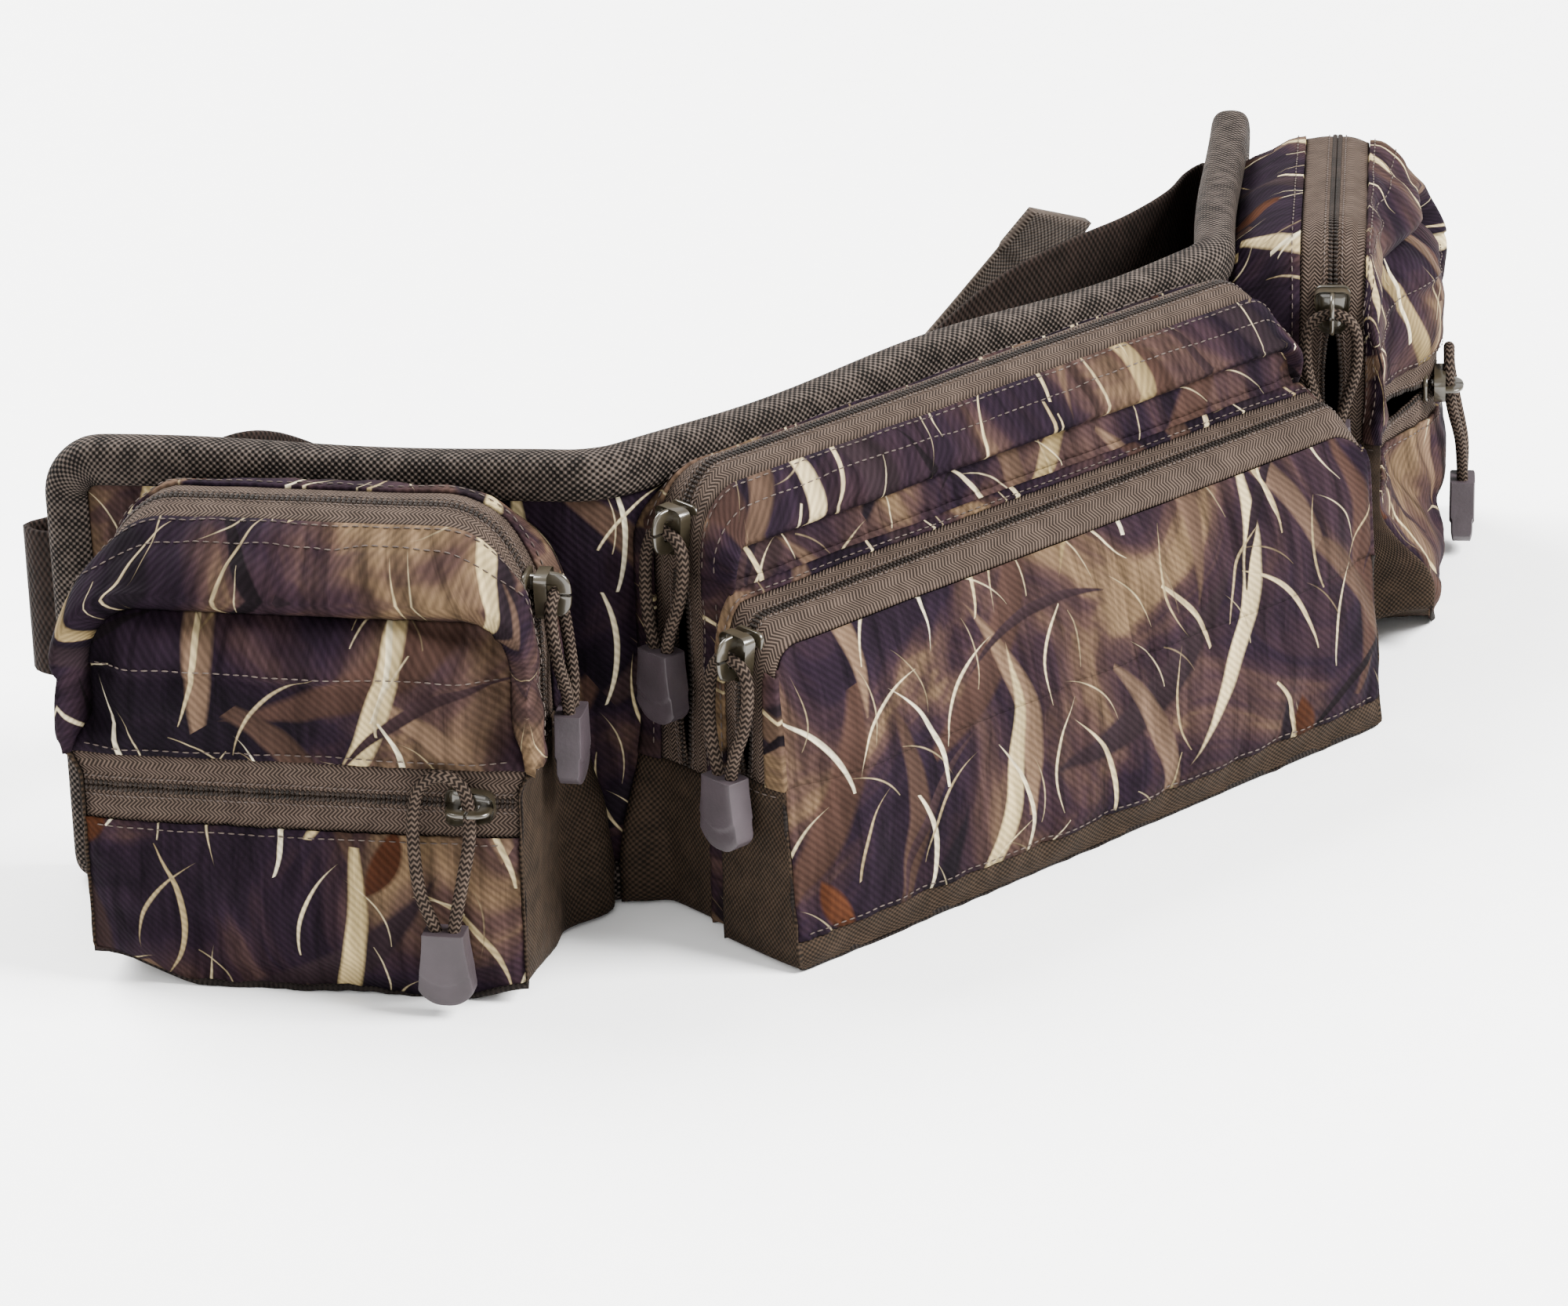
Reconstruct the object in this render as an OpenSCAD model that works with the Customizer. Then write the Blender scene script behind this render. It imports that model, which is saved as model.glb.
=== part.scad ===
// Waist pack: a bound and padded belt panel that carries three zipped pouches,
// with a webbing belt and a side release buckle behind it.
// Millimetres, +Z up, the pouches face -Y. The origin is the middle of the centre pouch's base.

/* [Belt panel] */
// Height of the panel with its bound edges
panel_h = 150; // [135:1:170]
// Straight stretch of the panel behind the centre pouch
centre_len = 254; // [240:1:300]
// Length of the left wing, from its bend to its end
left_len = 164; // [162:1:190]
// Length of the right wing, from its bend to its end
right_len = 146; // [144:1:180]
// Angle that the left wing is turned back
left_bend = 52; // [40:1:56]
// Angle that the right wing is turned back
right_bend = 42; // [36:1:50]
// Radius of the panel's outer face in the bends
bend_r = 26; // [20:1:34]
// Radius of the panel's corners
panel_corner_r = 16; // [8:1:24]
// Thickness of the printed outer cloth
outer_t = 1.2; // [0.8:0.1:1.6]
// Thickness of the foam
foam_t = 5; // [3:0.5:7]
// Thickness of the lining
lining_t = 1.2; // [0.8:0.1:1.6]
// Width of the edge binding on each face
binding_w = 12; // [8:1:14]
// Thickness of the edge binding
binding_t = 1; // [0.6:0.1:1.2]

/* [Cloth] */
// Thickness of pouch cloth with its lining
cloth_t = 1.5; // [1:0.1:2]
// Gap between cloth pieces that move apart
seam_gap = 0.4; // [0.3:0.1:0.6]

/* [Side pouches] */
// Width of a side pouch
pouch_w = 140; // [124:1:140]
// Depth of the left pouch at its base
left_pouch_d = 72; // [66:1:82]
// Depth of the right pouch at its base
right_pouch_d = 72; // [66:1:82]
// Radius of the upper corners
pouch_r = 16; // [12:1:20]
// Height where the front starts to lean back to the zip
pouch_shoulder_z = 96; // [88:1:108]
// Distance of the main zip from the panel
pouch_zip_v = 36; // [32:1:40]
// Height of the zip of the front pocket
pocket_zip_z = 66; // [60:1:70]
// Depth of the front pocket behind its panel
side_pocket_deep = 17; // [12:1:20]
// How far the left pocket panel stands proud
left_bulge = 4; // [2:0.5:5]
// How far the right pocket panel stands proud
right_bulge = 5; // [2:0.5:6]
// Distance of the left pouch from the left end
left_pouch_u = 24; // [18:1:24]
// Distance of the right pouch from the right end
right_pouch_u = 8; // [4:1:8]
// Inset of the front panel from the pouch's sides
panel_inset = 8; // [6:1:14]
// Height of the front panel's upper seam
front_panel_top = 122; // [114:1:128]

/* [Centre pouch] */
// Width of the main compartment
main_w = 256; // [230:1:260]
// Depth of the main compartment
main_d = 44; // [40:1:52]
// Radius of its upper corners
main_r = 10; // [8:1:16]
// Height where its front starts to lean back to the zip
main_shoulder_z = 124; // [122:1:130]
// Distance of the main zip from the panel
main_zip_v = 21; // [18:1:24]
// Height of the hem of the lower gusset
main_hem_z = 50; // [40:1:60]
// Width of the front pocket
pocket_w = 268; // [240:1:276]
// Depth of the front pocket at its base
pocket_d = 34; // [32:1:40]
// How far the pocket's front leans back at the top
pocket_lean = 10; // [6:1:11]
// Height of the front pocket
pocket_h = 114; // [104:1:116]
// Radius of the pocket's upper corners
pocket_r = 4; // [3:1:8]
// Distance of the pocket's zip from the main compartment
pocket_zip_v = 12; // [9:0.5:12]
// Height of the hem of the pocket's lower gusset
pocket_hem_z = 60; // [52:1:66]
// Height of the plain strip along the pocket's lower front
pocket_strip_h = 10; // [6:1:14]

/* [Zips] */
// Visible width of one half of a zip tape
tape_w = 9; // [7:0.5:9.5]
// Width of the slot between two tapes, in which the slider's post runs
zip_gap = 4.4; // [4:0.1:5]
// Length of a slider
slider_l = 15; // [12:0.5:17]
// Width of a slider
slider_w = 13; // [11:0.5:14]
// Thickness of a slider's plates
slider_t = 1.5; // [1.2:0.1:1.8]
// Width of a slider's bridge
bridge_w = 4.5; // [3.5:0.5:6]
// Clearance between a slider and the cloth
slider_gap = 0.5; // [0.4:0.1:0.8]
// Room for the zip's coil between the tape and the slider's inner plate
coil_room = 1.6; // [1.2:0.1:2.2]

/* [Pulls] */
// Diameter of the knitted cord
cord_d = 4; // [3:0.2:4.4]
// Clearance around the cord in the bridge and in the cord end
cord_gap = 0.4; // [0.3:0.1:0.6]
// Drop from a slider's bridge to the mouth of the cord end
pull_drop = 38; // [34:1:40]
// Length of a cord end
end_l = 24; // [20:1:25]
// Width of a cord end at its mouth
end_w = 13; // [12:0.5:14]
// Width of a cord end at its foot
end_foot_w = 17; // [15:0.5:19]
// Thickness of a cord end
end_t = 9; // [7.5:0.5:10]
// Depth of the sockets in a cord end
socket_deep = 9; // [7:1:12]
// How far a hanging cord end stands out from the cloth on a pouch's side
side_stand = 8; // [7:0.5:11]
// How far a hanging cord end stands out in front of a pocket
pocket_stand = 10; // [9.5:0.5:14]

/* [Belt] */
// Width of the webbing
web_w = 50; // [40:1:52]
// Thickness of the webbing
web_t = 2; // [1.4:0.1:2.2]
// Length of the buckle's socket without its loop
socket_l = 36; // [32:1:44]
// Height of the buckle across the webbing
buckle_w = 62; // [60:1:70]
// Thickness of the buckle
buckle_t = 13; // [12:0.5:16]
// Wall of the buckle's socket
buckle_wall = 2; // [1.6:0.1:2.4]
// Clearance between the buckle's plug and its socket
buckle_gap = 0.4; // [0.3:0.1:0.6]
// Length of the loops that hold the webbing
loop_l = 11; // [10:1:14]

/* [Hidden] */
$fn = 48;

// Colours of the cloth, webbing and fittings
print_col = "#7a6355";
plain_col = "#6b574a";
tape_col = "#75624f";
web_col = "#4f463f";
lining_col = "#3d3632";
foam_col = "#b9b4a8";
slider_col = "#5c5546";
cord_col = "#6d5d52";
end_col = "#6f6069";
buckle_col = "#3a3530";

// The panel's outer face lies this far behind the origin
panel_y = 22;
half_len = centre_len / 2;
panel_t = outer_t + foam_t + lining_t;
panel_z0 = binding_t + 0.5;
panel_z1 = panel_h - binding_t;
bend_steps = 8;
corner_steps = 6;
far = 400;

// Where the pouches meet the panel, below its binding
pouch_back_z = panel_h - binding_w - 2;
shoulder_steps = 6;
back_steps = 3;
shoulder_power = 1.25;

// The side pouches open above the pocket's upper tape
pouch_hem_z = pocket_zip_z + zip_gap / 2 + tape_w;
pocket_top_z = pocket_zip_z - zip_gap / 2 - tape_w;
bulge_steps = 8;

// The centre pouch opens above its front pocket
main_lid_z = pocket_h + 4;
pocket_v = main_d;
pocket_edge_r = 5;

pocket_slider_inset = 16;
// Heights of the sliders that rest below the corners of their zips
slider_rest = slider_l / 2 + 1.5;
right_slider_z = panel_h - pouch_r - slider_rest;
left_slider_z = right_slider_z - 4;
main_slider_z = panel_h - main_r - slider_rest;
pocket_slider_z = pocket_h - pocket_r - slider_rest;
left_pocket_slider_u = pouch_w - pocket_slider_inset;
right_pocket_slider_u = 54;

// A slider's bridge leaves room for the cord above the outer plate
plate_n = slider_gap + slider_t;
window_h = cord_d + 2 * cord_gap;
window_l = 8;
bridge_t = 1.5;
cord_n = plate_n + window_h / 2;
post_w = zip_gap - 1.4;
post_l = 5;
post_gap = 0.02;
shoulder_cut = 2;

// Two strands of cord lie side by side in a cord end
strand_y = cord_d / 2 + 0.9;
end_foot_r = 5;

// Routes of the cords: [across, up, share of the stand-off], from the bridge's middle.
// The hanging loop goes through the bridge at its top.
loop_route = [
    [0, -44, 1], [0, -38, 1], [5, -30, 1], [8, -20, 0.6], [8.5, -9, 0.2], [6, -2.5, 0], [0, 0, 0],
    [-6, -2.5, 0], [-8.5, -9, 0.2], [-8, -20, 0.6], [-5, -30, 1], [0, -38, 1], [0, -44, 1]
];
// The pocket's loop goes down through the bridge after a turn above it.
hook_route = [
    [0, -44, 1], [0, -38, 1], [-15, -26, 1], [-17, -12, 0.5], [-17, 0, 0.1], [-14, 8, 0],
    [-8, 11, 0], [-2, 8, 0], [0, 0, 0], [0, -10, 0.3], [-2, -22, 0.8], [0, -38, 1], [0, -44, 1]
];
hook_y = -8;

// Edges of the webbing behind the panel: upper and lower edge of each strap.
// The left strap starts on the lining, folds round the end of the wing and runs to the buckle.
left_strap_start = [[46, 0], [20, 0], [0, 0], [-9, 1], [-14, 6], [-10, 11], [0, 13], [26, 24]];
left_strap_z = [91, 91, 91, 91, 91, 91, 94, 105];
left_strap_run = [
    [-176, 156, 110], [-145, 161, 96], [-115, 161, 72], [-88, 155, 50], [-66, 147, 36], [-54, 143, 32]
];
right_strap_start = [[52, 0], [36, 0], [22, 2], [30, 8], [48, 14]];
right_strap_z = [111, 111, 110, 109, 108];
right_strap_run = [
    [176, 108, 106], [148, 110, 103], [120, 116, 95], [94, 126, 76],
    [74, 134, 56], [52, 140, 40], [30, 142, 32]
];
tail_upper = [[46, 149, 57], [74, 151, 64], [98, 149, 80], [122, 142, 102], [146, 124, 137]];
tail_lower = [[48, 151, 7], [84, 157, 15], [114, 159, 33], [142, 156, 58], [188, 138, 119]];

// The buckle stands on edge behind the pack, with its mouth in the middle
buckle_x = 0;
buckle_y = 142;
buckle_z = 32;
prong_w = 9;
prong_l = socket_l - 6;
tongue_w = 12;
button_inset = 8;
button_lip = 10;
loop_bar = 4;
plug_foot = 8;
left_strap_end = [buckle_x - socket_l - loop_l - 0.3, buckle_y, buckle_z];
right_strap_end = [buckle_x + plug_foot + loop_l + 0.3, buckle_y, buckle_z];
tail_start = right_strap_end + [0, web_t + 1.2, 0];

function unit(v) = v / norm(v);
function reversed(list) = [for (i = [len(list) - 1 : -1 : 0]) list[i]];

// Plan line that lies v outside the panel's outer face, from the left end to the right end
function bend_line(side, v, angle) = [
    for (i = [0 : bend_steps])
        let (a = angle * i / bend_steps)
        [side * (half_len + (bend_r + v) * sin(a)), panel_y + bend_r - (bend_r + v) * cos(a)]
];
function wing_angle(side) = side < 0 ? left_bend : right_bend;
function wing_len(side) = side < 0 ? left_len : right_len;
function wing_dir(side) = [side * cos(wing_angle(side)), sin(wing_angle(side))];
function wing_end(side, v, grow) =
    bend_line(side, v, wing_angle(side))[bend_steps] + (wing_len(side) + grow) * wing_dir(side);
function plan_line(v, grow) = concat(
    [wing_end(-1, v, grow)],
    reversed(bend_line(-1, v, left_bend)),
    bend_line(1, v, right_bend),
    [wing_end(1, v, grow)]
);
// Point of a wing's own frame in plan: u from its end towards the centre, b behind its face
function wing_point(side, u, b) =
    let (a = wing_angle(side))
    wing_end(side, 0, 0) - u * wing_dir(side) + b * [-side * sin(a), cos(a)];

// Frame of a wing: x runs from the wing's end towards the centre, -y points out of the panel
module wing(side) {
    end = wing_end(side, 0, 0);
    translate([end[0], end[1], 0])
        rotate(side * wing_angle(side))
            mirror([side > 0 ? 1 : 0, 0, 0])
                children();
}

module side_pouch(side) {
    wing(side) translate([side < 0 ? left_pouch_u : right_pouch_u, 0, 0]) children();
}

module centre_frame(w) {
    translate([-w / 2, panel_y, 0]) children();
}

// Belt panel: a blank between two plan lines, grown or shrunk at its edges
module corner_cut(r, grow) {
    top = panel_z1 + grow;
    arc = [
        for (i = [0 : corner_steps])
            let (a = 90 * i / corner_steps)
            [r - grow - r * sin(a), top - r + r * cos(a)]
    ];
    first = 2 * arc[0] - arc[1];
    last = 2 * arc[corner_steps] - arc[corner_steps - 1];
    edge = -grow - 5;
    translate([0, far / 2, 0])
        rotate([90, 0, 0])
            linear_extrude(far)
                polygon(concat(
                    [[edge, last[1]], [edge, top + 5], [first[0], top + 5], first],
                    [for (i = [1 : corner_steps - 1]) arc[i]],
                    [last]
                ));
}

module panel_blank(v0, v1, grow) {
    difference() {
        translate([0, 0, panel_z0 - grow])
            linear_extrude(panel_z1 - panel_z0 + 2 * grow)
                polygon(concat(plan_line(v0, grow), reversed(plan_line(v1, grow))));
        for (side = [-1, 1])
            wing(side) corner_cut(max(panel_corner_r + grow, 1), grow);
    }
}

module outer_panel() {
    color(print_col) panel_blank(-outer_t, 0, 0);
}

module foam_pad() {
    color(foam_col) panel_blank(-outer_t - foam_t, -outer_t, 0);
}

// The lining's field inside the binding is quilted level with it
module lining() {
    color(lining_col) {
        panel_blank(-panel_t, -outer_t - foam_t, 0);
        panel_blank(-panel_t - binding_t, -panel_t + 0.1, binding_t - binding_w - 0.2);
    }
}

module edge_binding() {
    color(web_col)
        difference() {
            panel_blank(-panel_t - binding_t, binding_t, binding_t);
            panel_blank(-panel_t, 0, 0);
            panel_blank(-panel_t - 3 * binding_t, 3 * binding_t, binding_t - binding_w);
        }
}

// Pouch shells: a profile from back to front meets an outline from the side
module along(w) {
    rotate([90, 0, 90]) linear_extrude(w) children();
}

module tab_outline(w, h, r) {
    square([w, h - r]);
    translate([r, 0]) square([w - 2 * r, h]);
    for (x = [r, w - r]) translate([x, h - r]) circle(r);
}

function pouch_profile(d, shoulder_z, zip_v, inset) = concat(
    [[-(inset > 0 ? -cloth_t : binding_t), inset], [-(d - inset), inset]],
    [
        for (i = [0 : shoulder_steps])
            let (a = 90 * i / shoulder_steps)
            [
                -zip_v - (d - inset - zip_v) * pow(cos(a), shoulder_power),
                shoulder_z + (panel_h - inset - shoulder_z) * pow(sin(a), shoulder_power)
            ]
    ],
    [
        for (i = [1 : back_steps])
            let (v = zip_v + (binding_t - zip_v) * i / back_steps)
            [-v, pouch_back_z - inset + (panel_h - pouch_back_z) * sin(90 * v / zip_v)]
    ],
    inset > 0 ? [[cloth_t, pouch_back_z - inset]] : []
);

module pouch_solid(w, d, r, shoulder_z, zip_v, inset) {
    intersection() {
        translate([inset, 0, 0])
            along(w - 2 * inset) polygon(pouch_profile(d, shoulder_z, zip_v, inset));
        translate([inset, 2 * cloth_t, 0])
            rotate([90, 0, 0])
                linear_extrude(far) tab_outline(w - 2 * inset, panel_h - inset, r - inset);
    }
}

module pouch_shell(w, d, r, shoulder_z, zip_v) {
    difference() {
        pouch_solid(w, d, r, shoulder_z, zip_v, 0);
        pouch_solid(w, d, r, shoulder_z, zip_v, cloth_t);
    }
}

function pouch_d(side) = side < 0 ? left_pouch_d : right_pouch_d;
function pocket_bulge(side) = side < 0 ? left_bulge : right_bulge;

module side_shell(side) {
    pouch_shell(pouch_w, pouch_d(side), pouch_r, pouch_shoulder_z, pouch_zip_v);
}

module main_shell() {
    pouch_shell(main_w, main_d, main_r, main_shoulder_z, main_zip_v);
}

// Space between two distances from the panel and two heights
module zone(v0, v1, z0, z1) {
    translate([-far / 2, -v1, z0]) cube([2 * far, v1 - v0, z1 - z0]);
}

module rear_tape_zone(zip_v, z0, z1) {
    zone(zip_v - zip_gap / 2 - tape_w, zip_v - zip_gap / 2, z0, z1);
}

module front_tape_zone(zip_v, z0, z1) {
    zone(zip_v + zip_gap / 2, zip_v + zip_gap / 2 + tape_w, z0, z1);
}

// Side pouch
module lower_gusset(side) {
    color(plain_col)
        side_pouch(side)
            intersection() {
                side_shell(side);
                zone(-1, pouch_d(side) - cloth_t, -1, pouch_hem_z);
            }
}

module back_gusset(side) {
    color(print_col)
        side_pouch(side)
            intersection() {
                side_shell(side);
                zone(-1, pouch_zip_v - zip_gap / 2 - tape_w, pouch_hem_z, far);
            }
}

module lid_half(side) {
    intersection() {
        side_shell(side);
        zone(pouch_zip_v + zip_gap / 2 + tape_w, far, pouch_hem_z + seam_gap, far);
    }
}

module front_panel_zone(side) {
    translate([panel_inset, -far, 0])
        cube([pouch_w - 2 * panel_inset, far - pouch_d(side) / 2, front_panel_top]);
}

module front_gusset(side) {
    color(print_col)
        side_pouch(side)
            difference() {
                lid_half(side);
                front_panel_zone(side);
            }
}

module front_panel(side) {
    color(print_col)
        side_pouch(side)
            intersection() {
                lid_half(side);
                front_panel_zone(side);
            }
}

module main_zip_tape(side) {
    color(tape_col)
        side_pouch(side)
            intersection() {
                side_shell(side);
                rear_tape_zone(pouch_zip_v, pouch_hem_z, far);
            }
}

module lid_zip_tape(side) {
    color(tape_col)
        side_pouch(side)
            intersection() {
                side_shell(side);
                front_tape_zone(pouch_zip_v, pouch_hem_z + seam_gap, far);
            }
}

function bulge_line(v, bulge, rows) = [
    for (i = rows)
        [-v - bulge * sin(180 * i / bulge_steps), pocket_top_z * i / bulge_steps]
];

module pocket_panel(side) {
    color(print_col)
        side_pouch(side)
            along(pouch_w)
                polygon(concat(
                    bulge_line(pouch_d(side), pocket_bulge(side), [0 : bulge_steps]),
                    bulge_line(pouch_d(side) - cloth_t, pocket_bulge(side), [bulge_steps : -1 : 0])
                ));
}

module pocket_backing(side) {
    front = pouch_d(side) - cloth_t;
    back = front - side_pocket_deep;
    color(plain_col)
        side_pouch(side)
            translate([cloth_t, 0, 0])
                along(pouch_w - 2 * cloth_t)
                    polygon([
                        [-back, cloth_t],
                        [-back - 1, cloth_t],
                        [-back - 1, pocket_zip_z + 2],
                        [-front, pouch_hem_z - 2],
                        [-front, pouch_hem_z],
                        [-front + 2, pouch_hem_z],
                        [-back, pocket_zip_z + 4]
                    ]);
}

module pocket_zip_tapes(side) {
    color(tape_col)
        side_pouch(side)
            for (z = [pocket_top_z, pocket_zip_z + zip_gap / 2])
                translate([0, -pouch_d(side), z]) cube([pouch_w, cloth_t, tape_w]);
}

// Centre pouch
module centre_lower_gusset() {
    color(plain_col)
        centre_frame(main_w)
            intersection() {
                main_shell();
                zone(-1, main_zip_v + zip_gap / 2 + tape_w, -1, main_hem_z);
            }
}

module centre_back_gusset() {
    color(print_col)
        centre_frame(main_w)
            intersection() {
                main_shell();
                zone(-1, main_zip_v - zip_gap / 2 - tape_w, main_hem_z, far);
            }
}

module centre_front_wall() {
    color(print_col)
        centre_frame(main_w)
            intersection() {
                main_shell();
                zone(main_zip_v + zip_gap / 2 + tape_w, far, -1, main_lid_z);
            }
}

module centre_lid() {
    color(print_col)
        centre_frame(main_w)
            intersection() {
                main_shell();
                zone(main_zip_v + zip_gap / 2 + tape_w, far, main_lid_z + seam_gap, far);
            }
}

module centre_main_zip_tape() {
    color(tape_col)
        centre_frame(main_w)
            intersection() {
                main_shell();
                union() {
                    rear_tape_zone(main_zip_v, main_hem_z, far);
                    front_tape_zone(main_zip_v, main_hem_z, main_lid_z);
                }
            }
}

module centre_lid_zip_tape() {
    color(tape_col)
        centre_frame(main_w)
            intersection() {
                main_shell();
                front_tape_zone(main_zip_v, main_lid_z + seam_gap, far);
            }
}

// Front pocket: its front leans back, and it is open to the wall behind it
function pocket_front_v(z) = pocket_v + pocket_d - pocket_lean * z / pocket_h;

function pocket_profile(inset) =
    let (top = pocket_h - inset)
    let (edge = pocket_front_v(top) - inset)
    [
        [-pocket_v + (inset > 0 ? cloth_t : 0), inset],
        [-pocket_front_v(inset) + inset, inset],
        [-pocket_front_v(top - pocket_edge_r) + inset, top - pocket_edge_r],
        [-edge + pocket_edge_r * 0.3, top - pocket_edge_r * 0.3],
        [-edge + pocket_edge_r, top],
        [-pocket_v + (inset > 0 ? cloth_t : 0), top]
    ];

module pocket_solid(inset) {
    intersection() {
        translate([inset, 0, 0]) along(pocket_w - 2 * inset) polygon(pocket_profile(inset));
        translate([inset, 0, 0])
            rotate([90, 0, 0])
                linear_extrude(far) tab_outline(pocket_w - 2 * inset, pocket_h - inset, pocket_r - inset);
    }
}

module pocket_shell() {
    difference() {
        pocket_solid(0);
        pocket_solid(cloth_t);
    }
}

// Space of the pocket's leaning front wall between two heights
module pocket_front_zone(z0, z1) {
    translate([-far / 2, 0, 0])
        along(2 * far)
            polygon([
                [-pocket_front_v(z0) + cloth_t, z0],
                [-pocket_front_v(z0) - far, z0],
                [-pocket_front_v(z1) - far, z1],
                [-pocket_front_v(z1) + cloth_t, z1]
            ]);
}

module front_pocket_gusset() {
    color(plain_col)
        centre_frame(pocket_w)
            intersection() {
                pocket_shell();
                difference() {
                    zone(-1, far, -1, pocket_hem_z);
                    pocket_front_zone(pocket_strip_h, pocket_hem_z + 1);
                }
            }
}

module front_pocket_panel() {
    color(print_col)
        centre_frame(pocket_w)
            intersection() {
                pocket_shell();
                pocket_front_zone(pocket_strip_h, pocket_hem_z);
            }
}

module front_pocket_lid() {
    color(print_col)
        centre_frame(pocket_w)
            intersection() {
                pocket_shell();
                zone(pocket_v + pocket_zip_v + zip_gap / 2 + tape_w, far, pocket_hem_z + seam_gap, far);
            }
}

module front_pocket_zip_tape() {
    color(tape_col)
        centre_frame(pocket_w)
            intersection() {
                pocket_shell();
                zone(0, pocket_v + pocket_zip_v - zip_gap / 2, pocket_hem_z, far);
            }
}

module front_pocket_lid_zip_tape() {
    color(tape_col)
        centre_frame(pocket_w)
            intersection() {
                pocket_shell();
                front_tape_zone(pocket_v + pocket_zip_v, pocket_hem_z + seam_gap, far);
            }
}

// Slider: x out of the cloth, z along the zip, with the zip's outer face at x = 0
module slider_plate() {
    y = slider_w / 2;
    z = slider_l / 2;
    rotate([90, 0, 90])
        linear_extrude(slider_t)
            polygon([
                [-y, shoulder_cut - z], [shoulder_cut - y, -z], [y - shoulder_cut, -z], [y, shoulder_cut - z],
                [y, z - shoulder_cut], [y - shoulder_cut, z], [shoulder_cut - y, z], [-y, z - shoulder_cut]
            ]);
}

module slider_bridge() {
    top = plate_n + window_h;
    translate([0, bridge_w / 2, 0])
        rotate([90, 0, 0])
            linear_extrude(bridge_w)
                difference() {
                    union() {
                        translate([slider_gap, -window_l / 2 - bridge_t])
                            square([top - slider_gap, window_l + 2 * bridge_t]);
                        translate([top - 0.01, -window_l / 2]) square([bridge_t, window_l]);
                        for (z = [-window_l / 2, window_l / 2])
                            translate([top, z]) circle(bridge_t);
                    }
                    translate([plate_n, -window_l / 2]) square([window_h, window_l]);
                }
}

module slider_body() {
    translate([slider_gap, 0, 0]) slider_plate();
    translate([-cloth_t - coil_room - slider_t, 0, 0]) slider_plate();
    translate([-cloth_t - coil_room + post_gap, -post_w / 2, slider_l / 2 - post_l - 1])
        cube([cloth_t + coil_room + slider_gap - 2 * post_gap, post_w, post_l]);
    slider_bridge();
}

// Cord loop and cord end hang from the bridge: x out of the cloth, z up
function strand_shift(i, count) = i < 2 ? strand_y : (i > count - 3 ? -strand_y : 0);
function loop_points(route, mid_y, stand) = [
    for (i = [0 : len(route) - 1])
        let (p = route[i])
        let (shift = strand_shift(i, len(route)))
        [
            cord_n + p[2] * (stand - cord_n),
            shift == 0 ? p[0] : mid_y + shift * (mid_y < 0 ? -1 : 1),
            p[1] < -40 ? -pull_drop - socket_deep + 1 : (shift == 0 ? p[1] : -pull_drop)
        ]
];

// Tube of eight sides along a list of points
cord_sides = 8;
function tube_frame(points, i) =
    let (before = points[max(i - 1, 0)])
    let (after = points[min(i + 1, len(points) - 1)])
    let (t = unit(after - before))
    let (across = [1, 0, 0])
    let (n = unit(across - (across * t) * t))
    [n, cross(t, n)];
function tube_rings(points, r) = [
    for (i = [0 : len(points) - 1])
        let (f = tube_frame(points, i))
        for (k = [0 : cord_sides - 1])
            let (a = 360 * k / cord_sides)
            points[i] + r * (cos(a) * f[0] + sin(a) * f[1])
];
function tube_walls(rings) = [
    for (i = [0 : rings - 2])
        for (k = [0 : cord_sides - 1])
            let (a = i * cord_sides + k)
            let (b = i * cord_sides + (k + 1) % cord_sides)
            for (face = [[a, b + cord_sides, b], [a, a + cord_sides, b + cord_sides]])
                face
];

module tube(points, d) {
    rings = len(points);
    polyhedron(
        points = tube_rings(points, d / 2),
        faces = concat(
            tube_walls(rings),
            [[for (k = [0 : cord_sides - 1]) k]],
            [[for (k = [cord_sides - 1 : -1 : 0]) (rings - 1) * cord_sides + k]]
        )
    );
}

module end_outline() {
    polygon(concat(
        [[-end_w / 2, 0], [-end_foot_w / 2, end_foot_r - end_l]],
        [for (a = [200 : 20 : 340]) [end_foot_w / 2 * cos(a), end_foot_r - end_l + end_foot_r * sin(a)]],
        [[end_foot_w / 2, end_foot_r - end_l], [end_w / 2, 0]]
    ));
}

module cord_end_body() {
    difference() {
        translate([-end_t / 2, 0, 0]) rotate([90, 0, 90]) linear_extrude(end_t) end_outline();
        for (y = [-strand_y, strand_y])
            translate([0, y, -socket_deep]) cylinder(d = cord_d + cord_gap, h = socket_deep + 1);
    }
}

module loop_cord() {
    tube(loop_points(loop_route, 0, side_stand), cord_d);
}

module loop_end() {
    translate([side_stand, 0, -pull_drop]) cord_end_body();
}

module hook_cord() {
    tube(loop_points(hook_route, hook_y, pocket_stand), cord_d);
}

module hook_end() {
    translate([pocket_stand, hook_y, -pull_drop]) cord_end_body();
}

// Places of the sliders, with x out of the cloth
module at_side_zip(side) {
    z = side < 0 ? left_slider_z : right_slider_z;
    side_pouch(side) translate([pouch_w, -pouch_zip_v, z]) children();
}

module at_side_pocket(side) {
    u = side < 0 ? left_pocket_slider_u : right_pocket_slider_u;
    side_pouch(side) translate([u, -pouch_d(side), pocket_zip_z]) rotate(-90) children();
}

module at_main_zip() {
    translate([-main_w / 2, panel_y - main_zip_v, main_slider_z]) rotate(180) children();
}

module at_pocket_zip() {
    translate([-pocket_w / 2, panel_y - pocket_v - pocket_zip_v, pocket_slider_z]) rotate(180) children();
}

module main_slider(side) {
    color(slider_col) at_side_zip(side) slider_body();
}

module main_pull_cord(side) {
    color(cord_col) at_side_zip(side) loop_cord();
}

module main_cord_end(side) {
    color(end_col) at_side_zip(side) loop_end();
}

module pocket_slider(side) {
    color(slider_col) at_side_pocket(side) rotate([90, 0, 0]) slider_body();
}

module pocket_pull_cord(side) {
    color(cord_col) at_side_pocket(side) hook_cord();
}

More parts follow.
